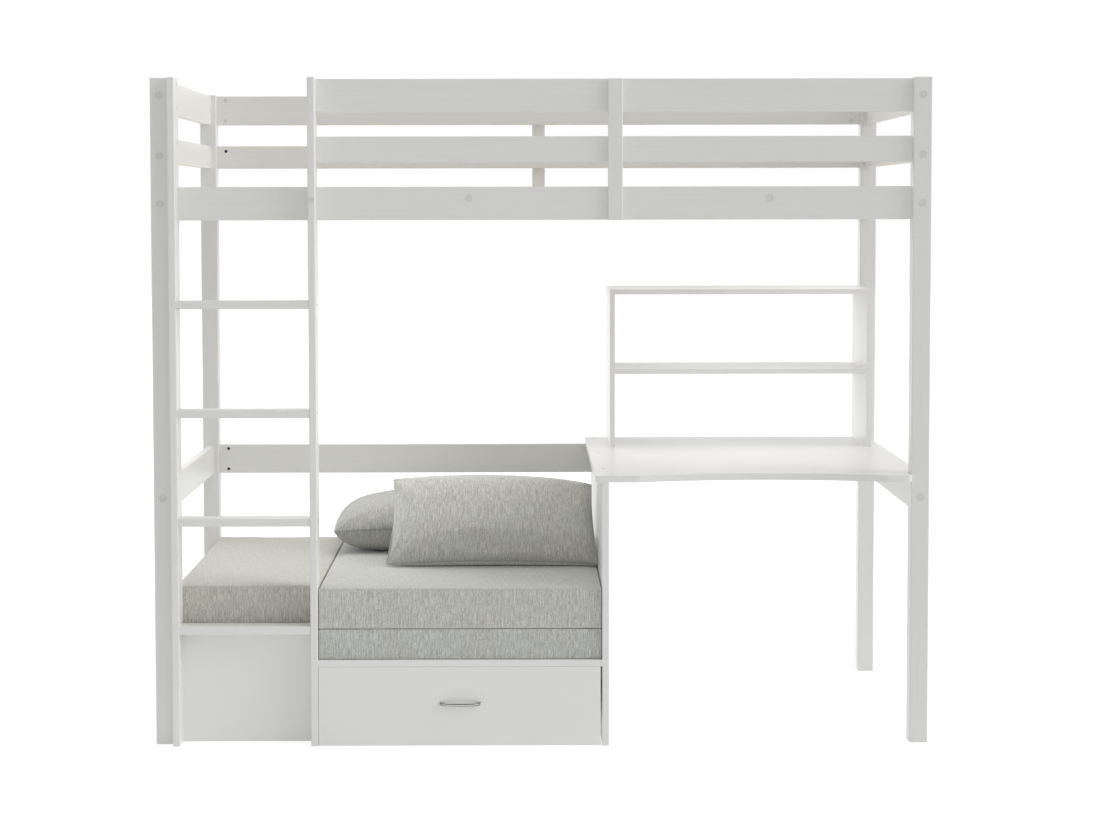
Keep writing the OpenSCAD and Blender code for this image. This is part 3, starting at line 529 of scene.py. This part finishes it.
def woven_cover(name, fabric, warmth, depth):
    """Melange cloth. Warmth moves the pale yarn to beige and depth darkens all yarns. The pattern
    is fainter where the cloth lies flat, and a painted shade darkens the seam's crease."""
    material, tree, shader = new_material(name)
    cloth = node(tree, "ShaderNodeUVMap", uv_map="cloth").outputs[0]
    pale, dark, warm = (np.array(tuple(c)) for c in (fabric.pale, fabric.dark, fabric.warm))
    pale = pale + (warm - pale) * warmth
    inputs = {
        "Vector": cloth,
        "Pale": tuple(pale * depth),
        "Dark": tuple(dark * depth),
        "Warm": tuple(warm * depth),
        "Slub width": fabric.slub_width,
        "Slub length": fabric.slub_length,
    }
    weave = placed(tree, "weave", inputs)
    # Painted shade: the seam's crease is darkened towards a dark yarn tone, where shade falls in
    # the fold.
    seam = node(tree, "ShaderNodeAttribute", attribute_name="seam").outputs["Fac"]
    shade = math_node(tree, "MULTIPLY", seam, 0.4)
    even = tuple((np.array(tuple(fabric.pale)) + dark) * 0.5 * depth)
    top = ranged(tree, facing_up(tree), 0.85, 0.97, 0.0, 0.42)
    woven = mixed(tree, top, weave.outputs["Color"], even)
    painted_seam_shade = mixed(tree, shade, woven, tuple(dark * 0.3))
    tree.links.new(painted_seam_shade, shader.inputs["Base Color"])
    shader.inputs["Roughness"].default_value = 0.9
    shader.inputs["Sheen Weight"].default_value = 0.45
    shader.inputs["Sheen Roughness"].default_value = 0.5
    shader.inputs["Specular IOR Level"].default_value = 0.25
    bumped(tree, shader, weave.outputs["Height"], fabric.relief, 0.7)
    return material


# ---------------------------------------------------------------- surfaces


def grid_faces(rows, columns):
    """Quads of a grid of points stored row by row, facing rows x columns."""
    first = (np.arange(rows - 1)[:, None] * columns + np.arange(columns - 1)).ravel()
    return np.stack([first, first + columns, first + columns + 1, first + 1], axis=1)


def sewn(panels):
    """Joins panels edge to edge. A panel is a grid of points, the same grid in lengths of cloth,
    and whether it faces rows x columns. Points at the same place become one."""
    points, faces, cloth = [], [], []
    start = 0
    for grid, flat, outward in panels:
        rows, columns = grid.shape[:2]
        quads = grid_faces(rows, columns)
        if not outward:
            quads = quads[:, ::-1]
        points.append(grid.reshape(-1, 3))
        cloth.append(flat.reshape(-1, 2)[quads].reshape(-1, 2))
        faces.append(quads + start)
        start += rows * columns
    points, faces = np.concatenate(points), np.concatenate(faces)
    _, first, back = np.unique(np.round(points, 6), axis=0, return_index=True, return_inverse=True)
    return points[first], back.ravel()[faces], np.concatenate(cloth)


def new_object(name, points, faces, cloth=None, smooth=True):
    """A mesh object whose place is in its mesh, with its cloth coordinates as a UV map."""
    mesh = bpy.data.meshes.new(name)
    mesh.from_pydata(points.tolist(), [], faces.tolist())
    if cloth is not None:
        mesh.uv_layers.new(name="cloth").data.foreach_set("uv", cloth.astype(np.float32).ravel())
    mesh.polygons.foreach_set("use_smooth", np.full(len(mesh.polygons), smooth))
    mesh.update()
    made = bpy.data.objects.new(name, mesh)
    bpy.context.scene.collection.objects.link(made)
    return made


def mesh_points(mesh):
    flat = np.empty(len(mesh.vertices) * 3, np.float32)
    mesh.vertices.foreach_get("co", flat)
    return flat.reshape(-1, 3).astype(float)


def set_points(mesh, points):
    mesh.vertices.foreach_set("co", points.astype(np.float32).ravel())
    mesh.update()


def inflated(made, pressure, frames, shrink=0.0, stiffness=15.0, bending=0.5):
    """Points of a closed cloth after some frames of air pressure with no gravity."""
    cloth = made.modifiers.new("Air", "CLOTH")
    settings = cloth.settings
    settings.quality = 5
    settings.mass = 0.3
    settings.tension_stiffness = settings.compression_stiffness = stiffness
    settings.shear_stiffness = stiffness / 3.0
    settings.bending_stiffness = bending
    settings.air_damping = 1.0
    settings.use_pressure = True
    settings.uniform_pressure_force = pressure
    settings.shrink_min = shrink
    settings.effector_weights.gravity = 0.0
    cloth.point_cache.frame_start = 1
    cloth.point_cache.frame_end = frames
    scene = bpy.context.scene
    for moment in range(1, frames + 1):
        scene.frame_set(moment)
    graph = bpy.context.evaluated_depsgraph_get()
    moved = mesh_points(made.evaluated_get(graph).to_mesh())
    made.evaluated_get(graph).to_mesh_clear()
    made.modifiers.remove(cloth)
    scene.frame_set(1)
    return moved


def capped(start, end, most):
    """Moves each point from start towards end by no more than most, easing into that limit."""
    step = end - start
    far = np.linalg.norm(step, axis=1, keepdims=True)
    return start + step * np.where(far > 0, most * np.tanh(far / most) / np.maximum(far, 1e-9), 0)


def marked(made, name, values):
    """Keeps one value per point in a named attribute."""
    layer = made.data.attributes.new(name, "FLOAT", "POINT")
    layer.data.foreach_set("value", values.astype(np.float32))


def subdivided(made):
    finer = made.modifiers.new("Smooth", "SUBSURF")
    finer.levels = finer.render_levels = 1


def stands_for(made, name, body, material):
    """Gives a new piece its material and lets it ride on a body in the place of a solid."""
    made.data.materials.append(material)
    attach(made, body)
    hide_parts(name)


# ---------------------------------------------------------------- cushions


CUSHION_FRAMES = 14
CUSHION_DRAW = (0.0005, 0.003)
CROWN_ROOM = 0.0005


def edge_steps(half, edge, cell):
    """Places from -half to half: even in the middle, and closer over the rounded edges, where
    they stand at 0, 1/4, 1/2, 3/4 and 1 of the edge."""
    count = max(2, int(round(2 * (half - edge) / cell)))
    middle = np.linspace(-(half - edge), half - edge, count + 1)
    rim = half - edge + edge * np.array([0.25, 0.5, 0.75, 1.0])
    return np.concatenate([-rim[::-1], middle, rim])


def cushion_shell(low, high, edge, cell, crown, draw):
    """A box with rounded edges. A point of the box moves to the distance edge from the nearest
    point of an inner box; the top rises by crown (1-x^2)(1-y^2), and the sides are drawn in by
    draw (1-y^2)(1-z^2) in parts of the half sizes, at the left and right by its first value, at
    the front and back by its second; the front then bulges by its third. Returns points, faces,
    cloth and a mask of the seams, which run round the top and the bottom edge."""
    low, high = np.array(low), np.array(high)
    middle, half = (low + high) / 2, (high - low) / 2
    steps = [edge_steps(h, edge, cell) for h in half]
    panels = []
    for axis, side in ((2, 1), (2, -1), (1, -1), (1, 1), (0, -1), (0, 1)):
        one, two = [k for k in range(3) if k != axis]
        a, b = np.meshgrid(steps[one], steps[two], indexing="ij")
        grid = np.empty(a.shape + (3,))
        grid[..., one], grid[..., two], grid[..., axis] = a, b, side * half[axis]
        bolt = 0.37 * axis + 0.19 * side  # where on the bolt of cloth the panel is cut
        flat = np.stack([a + bolt, b + bolt], axis=-1)
        outward = (side > 0) == (axis != 1)
        panels.append((grid, flat, outward))
    points, faces, cloth = sewn(panels)
    inner = np.clip(points, -(half - edge), half - edge)
    out = points - inner
    far = np.linalg.norm(out, axis=1, keepdims=True)
    on_edge = np.isclose(np.abs(points), half).sum(axis=1) >= 2
    seam = on_edge & np.isclose(np.abs(points[:, 2]), half[2])
    points = inner + edge * out / np.maximum(far, 1e-9)
    x, y, z = (points / half).T
    points[:, 2] += np.where(z > 0, crown * z * (1 - x**2) * (1 - y**2), 0)
    points[:, 0] -= np.sign(x) * draw[0] * (1 - y**2) * (1 - z**2) * np.abs(x) ** 8
    points[:, 1] -= np.sign(y) * draw[1] * (1 - x**2) * (1 - z**2) * np.abs(y) ** 8
    points[:, 1] += np.where(y < 0, -draw[2] * (1 - x**2) * np.abs(y) ** 8, 0)
    return points + middle, faces, cloth, seam


def stretched_to(points, low, high):
    """Stretches the points along X and Y, in which the swelling cloth draws in, to a box."""
    least, most = points.min(axis=0), points.max(axis=0)
    return low + (points - least) * ((high - low) / (most - least))


def cushion(name, crown, bulge, material, soft):
    """One seat cushion in the space of its solid."""
    floor, ceiling = (np.array(corner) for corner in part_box(name))
    low, high = floor.copy(), ceiling.copy()
    low[1] += bulge
    high[2] -= crown
    draw = (*CUSHION_DRAW, bulge)
    points, faces, cloth, seam = cushion_shell(low, high, soft.edge, soft.cell, crown, draw)
    made = new_object(name + "_cover", points, faces, cloth)
    moved = inflated(made, soft.pressure, CUSHION_FRAMES)
    points = capped(points, moved, soft.swell)
    points[:, :2] = stretched_to(points[:, :2], floor[:2], ceiling[:2])
    points[:, 2] = np.clip(points[:, 2], floor[2], ceiling[2] + CROWN_ROOM)
    inward = (low + high) / 2 - points
    inward /= np.linalg.norm(inward, axis=1, keepdims=True)
    points = points + inward * (soft.seam * seam[:, None])
    set_points(made.data, points)
    subdivided(made)
    stands_for(made, name, "bed", material)


# ---------------------------------------------------------------- pillows


PILLOW_CELLS = (84, 52)
PILLOW_FRAMES = 16
PILLOW_SHRINK = -0.012
PLEAT_COUNT, PLEAT_DEPTH = 9.0, 0.006
PUCKER_DEPTH = 0.0009
SEAT_SOFTNESS = 0.0015
PILLOW_ROOM = 0.008


# Size is half the length, half the width, and the thickness in front and behind; the other names
# are those of pillow_skins and pillow.
FRONT_PILLOW = {
    "centre": (-0.1405, -0.0575, 0.5640),
    "size": (0.3005, 0.140, 0.074, 0.104),
    "pinch": (0.014, 0.008),
    "flare": 0.024,
    "full": (2.6, 2.6),
    "droop": (0.011, 0.016),
    "turn": (54.0, 0.0),
    "reach": 0.062,
}
REAR_PILLOW = {
    "centre": (-0.305, 0.2375, 0.5233),
    "size": (0.302, 0.165, 0.083, 0.092),
    "pinch": (-0.004, -0.004),
    "flare": 0.0,
    "full": (2.1, 5.0),
    "droop": (0.011, 0.0),
    "turn": (3.5, -3.0),
    "reach": 0.0,
}


def pillow_rise(part, full):
    """(1-|part|^full)^0.5, from 1 in the middle to 0 at the ends."""
    return np.sqrt(np.maximum(0.0, 1 - np.abs(part) ** full))


def pillow_skins(size, pinch, flare, full, cells):
    """Two crowned skins that meet in one seam, as in the solid. A point (u, v), each from -1 to 1,
    lies u*length*(1-flare*v) along, its end drawn in by pinch midway between the corners, and
    v*width across, and stands off the seam's plane by (1-|u|^full)^0.5 (1-|v|^2.6)^0.5 times the
    thickness. Full and the thickness have one value for the front and one for the back. The cloth
    coordinates are the lengths along the middle lines."""
    s, t = np.linspace(-1, 1, cells[0] + 1), np.linspace(-1, 1, cells[1] + 1)
    u, v = np.meshgrid(np.sin(math.pi / 2 * s), np.sin(math.pi / 2 * t), indexing="ij")
    draw = np.where(u < 0, pinch[0], pinch[1])
    x = u * (size[0] * (1 - flare * v) - draw * (1 - v**2) * u**2)
    y = v * size[1]
    panels = []
    for thick, end in ((size[2], full[0]), (-size[3], full[1])):
        z = thick * pillow_rise(u, end) * pillow_rise(v, 2.6)
        one = np.hypot(np.diff(x[:, cells[1] // 2]), np.diff(z[:, cells[1] // 2]))
        two = np.hypot(np.diff(y[cells[0] // 2]), np.diff(z[cells[0] // 2]))
        along, across = np.append(0, one.cumsum()), np.append(0, two.cumsum())
        flat = np.stack(np.meshgrid(along, across, indexing="ij"), -1)
        panels.append((np.dstack([x, y, z]), flat + 3.1 * thick, thick > 0))
    return sewn(panels)


def pleats(points, size, count, depth):
    """Folds that run in from the four corners: depth sin(count angle + phase), which starts over
    20 mm and fades out with the distance from the corner over 55 mm."""
    corner = np.sign(points[:, :2]) * np.array(size[:2])
    away = corner - points[:, :2]
    far = np.linalg.norm(away, axis=1)
    angle = np.arctan2(np.abs(away[:, 1]), np.abs(away[:, 0]))
    fade = np.exp(-far / 0.055) * np.clip(far / 0.02, 0, 1)
    phase = 1.3 * np.sign(corner[:, 0]) + 0.7 * np.sign(corner[:, 1])
    return depth * fade * np.sin(count * angle + phase)


def puckers(points, size, depth):
    """Small gathers square to the seam, like depth sin(place along it), that die out over 25 mm."""
    x, y = points[:, 0], points[:, 1]
    along_x = np.sin(x / 0.0048 + 2.0 * np.sin(x / 0.031)) * np.exp(-(size[1] - np.abs(y)) / 0.025)
    along_y = np.sin(y / 0.0052 + 2.0 * np.sin(y / 0.027)) * np.exp(-(size[0] - np.abs(x)) / 0.025)
    return depth * (along_x + along_y)


def drawn_seam(points, size, depth, blunt):
    """Pulls the seam inwards in its own plane by depth exp(-(height/2.4 mm)^2), and the corners
    by blunt |u v|^10."""
    part = np.clip(np.abs(points[:, :2]) / np.array(size[:2]), 0, 1)
    pull = depth * np.exp(-((points[:, 2] / 0.0024) ** 2))
    corner = blunt * (part[:, 0] * part[:, 1]) ** 10
    return np.sign(points[:, :2]) * (part**24 * pull[:, None] + corner[:, None])


def pressed(points, behind, seam_y, reach):
    """The cloth behind the bottom seam drops straight down to the seat before it runs back: a
    distance q behind the seam becomes q (1 - exp(-(q/reach)^2))."""
    back = points[:, 1] - seam_y
    moved = back * (1 - np.exp(-((back / reach) ** 2)))
    points[:, 1] = np.where(behind & (back > 0), seam_y + moved, points[:, 1])


def pillow(name, form, material, soft):
    """One pillow with the form of its solid, filled out by cloth under pressure, creased at its
    corners and at its seam, leant back by turn[0], sunk at its corners by droop[0] u^2 v^2 and at
    its far right one by droop[1] ((1+u)(1+v)/4)^3, pressed at the bottom as far as reach, turned
    by turn[1], and resting on the seat."""
    size, droop, turn, reach = form["size"], form["droop"], form["turn"], form["reach"]
    low, high = (np.array(corner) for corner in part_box(name))
    points, faces, cloth = pillow_skins(
        size, form["pinch"], form["flare"], form["full"], PILLOW_CELLS
    )
    made = new_object(name + "_cover", points, faces, cloth)
    upper, height = np.sign(points[:, 2]), np.abs(points[:, 2])
    moved = inflated(made, soft.pressure, PILLOW_FRAMES, PILLOW_SHRINK, 20.0, 0.1)
    moved = capped(points, moved, soft.puff)
    points = points + (moved - points) * (1 - np.exp(-height / 0.014))[:, None]
    fade = 1 - np.exp(-height / 0.006)
    folds = pleats(points, size, PLEAT_COUNT, PLEAT_DEPTH) + puckers(points, size, PUCKER_DEPTH)
    points[:, 2] += upper * fade * folds
    u, v = points[:, 0] / size[0], points[:, 1] / size[1]
    points[:, :2] -= drawn_seam(points, size, soft.tuck, soft.blunt)
    points = points @ np.array(Matrix.Rotation(math.radians(turn[0]), 3, "X")).T
    points[:, 2] -= droop[0] * u**2 * v**2 + droop[1] * ((1 + u) * (1 + v) / 4) ** 3
    if reach:
        pressed(points, (upper < 0) & (v < 0), -size[1] * math.cos(math.radians(turn[0])), reach)
    points = points @ np.array(Matrix.Rotation(math.radians(turn[1]), 3, "Z")).T
    points += np.array(form["centre"])
    above = (points[:, 2] - low[2]) / SEAT_SOFTNESS
    points[:, 2] = low[2] + SEAT_SOFTNESS * np.logaddexp(0, above)
    points = np.clip(points, low - PILLOW_ROOM, high + PILLOW_ROOM)
    points[:, 2] = np.maximum(points[:, 2], low[2])
    set_points(made.data, points)
    marked(made, "seam", height < 1e-6)
    subdivided(made)
    stands_for(made, name, "bed", material)


# ---------------------------------------------------------------- drawer front and handle


BOARD_EASE = 0.0006
BOARD_CELL = 0.2
BOARD_GAP = 0.0003


def eased_board(low, high):
    """A board as a box with rounded edges: the shell of a cushion with no crown and no draw."""
    points, faces, _, _ = cushion_shell(low, high, BOARD_EASE, BOARD_CELL, 0.0, (0.0, 0.0, 0.0))
    return points, faces


def tube(path, radius, sides=32):
    """Points of a round tube along a flat path in X and Y: a ring round each point of the path,
    square to it."""
    ahead = np.gradient(path, axis=0)
    ahead /= np.linalg.norm(ahead, axis=1, keepdims=True)
    across = np.stack([ahead[:, 1], -ahead[:, 0], np.zeros(len(path))], axis=1)
    turn = np.linspace(0, 2 * math.pi, sides + 1)
    ring = across[:, None] * np.cos(turn)[None, :, None]
    ring[..., 2] += np.sin(turn)
    return path[:, None] + radius[:, None, None] * ring


def bow_handle(handle):
    """A bar in a flat bow: each end leaves its foot square to the drawer and turns in a quarter
    ellipse, bend long and proud high, into a middle that stands out further like a sine. The radius
    eases from the foot's to the bar's over 3 mm."""
    half = handle.pitch / 2
    turn = np.linspace(0, math.pi / 2, 40)
    x = half - handle.bend * (1 - np.cos(turn))
    y = (handle.proud - handle.bow) * np.sin(turn)
    run = np.linspace(0, 1, 40)[1:]
    x = np.append(x, (half - handle.bend) * (1 - run))
    y = np.append(y, y[-1] + handle.bow * np.sin(math.pi / 2 * run))
    x, y = np.append(x, -x[-2::-1]), np.append(y, y[-2::-1])
    path = np.stack([x, -y, np.zeros(len(x))], axis=1)
    ease = np.clip(1.6 - y / 0.0025, 0, 1)
    radius = handle.bar + (handle.foot - handle.bar) * ease * ease * (3 - 2 * ease)
    radius[np.abs(x) < half - handle.bend] = handle.bar
    return tube(path, radius)


# ---------------------------------------------------------------- operators


class BED_OT_wood(bpy.types.Operator):
    """Lacquers the posts, rails, ladder, ledgers and bearers, and finishes the bare slats"""

    bl_idname = "bed.wood"
    bl_label = "Wood"

    def execute(self, context):
        finish = context.scene.bed_finish
        woods = {way: lacquered_wood(way, finish) for way in "xyz"}
        pine = bare_pine(finish)
        for name, part in NODES.items():
            if SLOT_OF[name] == "white_wood":
                low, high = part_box(name)
                way = "xyz"[int(np.argmax(np.array(high - low)))]
                part.material_slots[0].material = woods[way]
            elif SLOT_OF[name] == "plain_pine":
                part.material_slots[0].material = pine
        return {"FINISHED"}


class BED_OT_boards(bpy.types.Operator):
    """Lacquers the desk, the shelf unit, the seat's boards and the drawer"""

    bl_idname = "bed.boards"
    bl_label = "Boards"

    def execute(self, context):
        board = lacquered_board(context.scene.bed_finish)
        for name, part in NODES.items():
            if SLOT_OF[name] == "white_board":
                part.material_slots[0].material = board
        return {"FINISHED"}


class BED_OT_fittings(bpy.types.Operator):
    """Finishes the bolts, screws, dowels and castors"""

    bl_idname = "bed.fittings"
    bl_label = "Fittings"

    def execute(self, context):
        finish = context.scene.bed_finish
        finishes = {
            "bolt_heads": metal("Bolt enamel", finish.bolt, 0.4, 0.0, 1.0),
            "bright_zinc": metal("Zinc plate", finish.zinc, 0.38, 1.0, 3.0),
            "satin_steel": polished_bar(finish),
            "cross_dowels": dowel_ends(finish),
            "wheel_plastic": moulded_plastic(finish),
        }
        for name, part in NODES.items():
            kind = name if name in finishes else SLOT_OF[name]
            if kind in finishes:
                part.material_slots[0].material = finishes[kind]
        return {"FINISHED"}


class BED_OT_drawer_front(bpy.types.Operator):
    """Makes the drawer's front, which comes up close under the seat board"""

    bl_idname = "bed.drawer_front"
    bl_label = "Drawer front"

    def execute(self, context):
        low, high = (np.array(corner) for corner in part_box("drawer_front"))
        high[2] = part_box("seat_board_right")[0][2] - BOARD_GAP
        made = new_object("drawer_front_board", *eased_board(low, high))
        stands_for(made, "drawer_front", "drawer", bpy.data.materials["Lacquered board"])
        return {"FINISHED"}


class BED_OT_handle(bpy.types.Operator):
    """Makes the drawer's bow handle"""

    bl_idname = "bed.handle"
    bl_label = "Handle"

    def execute(self, context):
        low, high = (np.array(corner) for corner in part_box("drawer_handle"))
        grid = bow_handle(context.scene.bed_handle)
        points, faces, _ = sewn([(grid, grid[..., :2], True)])
        place = np.array([(low[0] + high[0]) / 2, high[1], (low[2] + high[2]) / 2])
        made = new_object("drawer_handle_bow", points + place, faces)
        stands_for(made, "drawer_handle", "drawer", bpy.data.materials["Polished steel"])
        return {"FINISHED"}


class BED_OT_cushions(bpy.types.Operator):
    """Makes the three seat cushions"""

    bl_idname = "bed.cushions"
    bl_label = "Seat cushions"

    def execute(self, context):
        soft, fabric = context.scene.bed_soft, context.scene.bed_fabric
        plain = woven_cover("Seat cloth", fabric, 0.2, 1.0)
        warm = woven_cover("Seat cloth warm", fabric, 1.8, 1.0)
        cool = woven_cover("Seat cloth cool", fabric, -0.3, 0.96)
        cushion("seat_cushion_left", 0.003, 0.004, warm, soft)
        cushion("seat_cushion_top", 0.003, 0.001, plain, soft)
        cushion("seat_cushion_lower", 0.0, 0.001, cool, soft)
        return {"FINISHED"}


class BED_OT_pillows(bpy.types.Operator):
    """Makes the leaning pillow and the one that lies behind it"""

    bl_idname = "bed.pillows"
    bl_label = "Pillows"

    def execute(self, context):
        soft, fabric = context.scene.bed_soft, context.scene.bed_fabric
        cloth = woven_cover("Pillow cloth", fabric, 0.3, 0.98)
        # The rear pillow has the same cloth as the front one, darkened to 0.79 as painted shade.
        shaded = woven_cover("Pillow cloth painted shade", fabric, 0.3, 0.79)
        pillow("pillow_front", FRONT_PILLOW, cloth, soft)
        pillow("pillow_rear", REAR_PILLOW, shaded, soft)
        return {"FINISHED"}


class BED_OT_studio(bpy.types.Operator):
    """Makes the floor, the even light, the lamps and the camera"""

    bl_idname = "bed.studio"
    bl_label = "Studio"

    def execute(self, context):
        studio = context.scene.bed_studio
        make_floor(studio.bounce)
        make_light(studio)
        make_camera(studio)
        context.scene.view_settings.view_transform = "Standard"
        return {"FINISHED"}


def seen_by_camera(tree):
    """1 for a ray from the camera, or from a mirror or glass, and 0 for light that bounces."""
    rays = tree.nodes.new("ShaderNodeLightPath")
    first = math_node(tree, "MAXIMUM", rays.outputs["Is Camera Ray"], rays.outputs["Is Glossy Ray"])
    return math_node(tree, "MAXIMUM", first, rays.outputs["Is Transmission Ray"])


FLOOR_REACH = 30.0


def make_floor(bounce):
    """A wide pale floor that looks white, keeps the bed's shadow and lights the bed from below."""
    corners = FLOOR_REACH * np.array([[-1, -1, 0], [1, -1, 0], [1, 1, 0], [-1, 1, 0]])
    floor = new_object("floor", corners, np.array([[0, 1, 2, 3]]), smooth=False)
    material, tree, shader = new_material("Pale floor")
    seen = seen_by_camera(tree)
    shade = ranged(tree, seen, 0.0, 1.0, 0.8, 0.5)
    reach = node(tree, "ShaderNodeVectorMath", {0: object_place(tree)}, operation="LENGTH")
    away = reach.outputs["Value"]
    glow = ranged(tree, away, 2.0, 7.0, 0.72, 0.9)
    both = node(tree, "ShaderNodeCombineColor", {0: shade, 1: shade, 2: shade})
    tree.links.new(both.outputs[0], shader.inputs["Base Color"])
    shader.inputs["Roughness"].default_value = 0.9
    shader.inputs["Specular IOR Level"].default_value = 0.0
    shader.inputs["Emission Color"].default_value = (1.0, 1.0, 1.0, 1.0)
    given = ranged(tree, away, 1.2, 3.0, bounce, 0.0)
    tree.links.new(ranged(tree, seen, 0.0, 1.0, given, glow), shader.inputs["Emission Strength"])
    floor.data.materials.append(material)


def broad_lamp(name, towards, spread, strength):
    """A far lamp in the direction towards, as broad in the sky as spread, in degrees."""
    data = bpy.data.lights.new(name, "SUN")
    data.energy = strength
    data.angle = math.radians(spread)
    made = bpy.data.objects.new(name, data)
    made.rotation_euler = Vector(towards).to_track_quat("Z", "Y").to_euler()
    bpy.context.scene.collection.objects.link(made)


def soft_box(name, place, size, spread, watts):
    """A rectangular lamp that shines straight down within spread, in degrees, and that the camera
    doesn't see."""
    data = bpy.data.lights.new(name, "AREA")
    data.shape = "RECTANGLE"
    data.size, data.size_y = size
    data.energy = watts
    data.spread = math.radians(spread)
    made = bpy.data.objects.new(name, data)
    made.location = place
    made.visible_camera = made.visible_glossy = False
    bpy.context.scene.collection.objects.link(made)


# Spreads of the lamps, in degrees, and the height of the soft boxes.
BROAD = 50.0
SOFT = 84.0
UNDER_BUNK = 1.36


def make_light(studio):
    """An even sky, white where the camera sees it, broad lamps round the bed, and two soft boxes
    under the bunk."""
    world = bpy.data.worlds.new("Studio")
    world.use_nodes = True
    bpy.context.scene.world = world
    tree = world.node_tree
    back = tree.nodes["Background"]
    back.inputs["Color"].default_value = (1.0, 1.0, 1.0, 1.0)
    seen = seen_by_camera(tree)
    tree.links.new(ranged(tree, seen, 0.0, 1.0, studio.sky, 1.0), back.inputs["Strength"])
    broad_lamp("Right lamp", (0.88, -0.16, 0.42), BROAD, studio.right)
    broad_lamp("Back lamp", (-0.7, 0.6, 0.35), BROAD, studio.back)
    soft_box("Seat lamp", (-0.58, 0.06, UNDER_BUNK), (0.9, 0.6), SOFT, studio.seat)
    soft_box("Desk lamp", (0.60, 0.0, UNDER_BUNK), (0.8, 0.6), SOFT, studio.desk)


def make_camera(studio):
    """The camera stands in front, looks slightly down, and its lens is shifted for the rest."""
    tilt, yaw, roll = (math.radians(a) for a in (studio.tilt, studio.yaw, studio.roll))
    level = math.cos(tilt)
    ahead = Vector((math.sin(yaw) * level, math.cos(yaw) * level, -math.sin(tilt)))
    right = Vector((math.cos(yaw), -math.sin(yaw), 0.0))
    up = right.cross(ahead)
    across = right * math.cos(roll) + up * math.sin(roll)
    upright = up * math.cos(roll) - right * math.sin(roll)
    turn = Matrix((across, upright, -ahead)).transposed()
    data = bpy.data.cameras.new("Camera")
    data.lens = studio.lens
    data.shift_x, data.shift_y = studio.shift_x, studio.shift_y
    camera = bpy.data.objects.new("Camera", data)
    place = Matrix.Translation((studio.aside, -studio.distance, studio.height))
    camera.matrix_world = place @ turn.to_4x4()
    bpy.context.scene.collection.objects.link(camera)
    bpy.context.scene.camera = camera


OPERATORS = [
    BED_OT_wood,
    BED_OT_boards,
    BED_OT_fittings,
    BED_OT_drawer_front,
    BED_OT_handle,
    BED_OT_cushions,
    BED_OT_pillows,
    BED_OT_studio,
]


class BED_PT_panel(bpy.types.Panel):
    """Lists the steps and the settings of the bed"""

    bl_idname = "BED_PT_panel"
    bl_label = "Cabin bed"
    bl_space_type = "VIEW_3D"
    bl_region_type = "UI"
    bl_category = "Bed"

    def draw(self, context):
        for operator in OPERATORS:
            self.layout.operator(operator.bl_idname)
        for name, group in GROUPS.items():
            box = self.layout.box()
            box.label(text=group.__doc__)
            for setting in group.__annotations__:
                box.prop(getattr(context.scene, name), setting)


def register():
    for group in GROUPS.values():
        bpy.utils.register_class(group)
    for name, group in GROUPS.items():
        setattr(bpy.types.Scene, name, bpy.props.PointerProperty(type=group))
    for item in [*OPERATORS, BED_PT_panel]:
        bpy.utils.register_class(item)


def unregister():
    for item in [BED_PT_panel, *reversed(OPERATORS)]:
        bpy.utils.unregister_class(item)
    for name, group in GROUPS.items():
        delattr(bpy.types.Scene, name)
        bpy.utils.unregister_class(group)


def main():
    register()
    bpy.ops.bed.wood()
    bpy.ops.bed.boards()
    bpy.ops.bed.fittings()
    bpy.ops.bed.drawer_front()
    bpy.ops.bed.handle()
    bpy.ops.bed.cushions()
    bpy.ops.bed.pillows()
    bpy.ops.bed.studio()


if __name__ == "__main__":
    main()
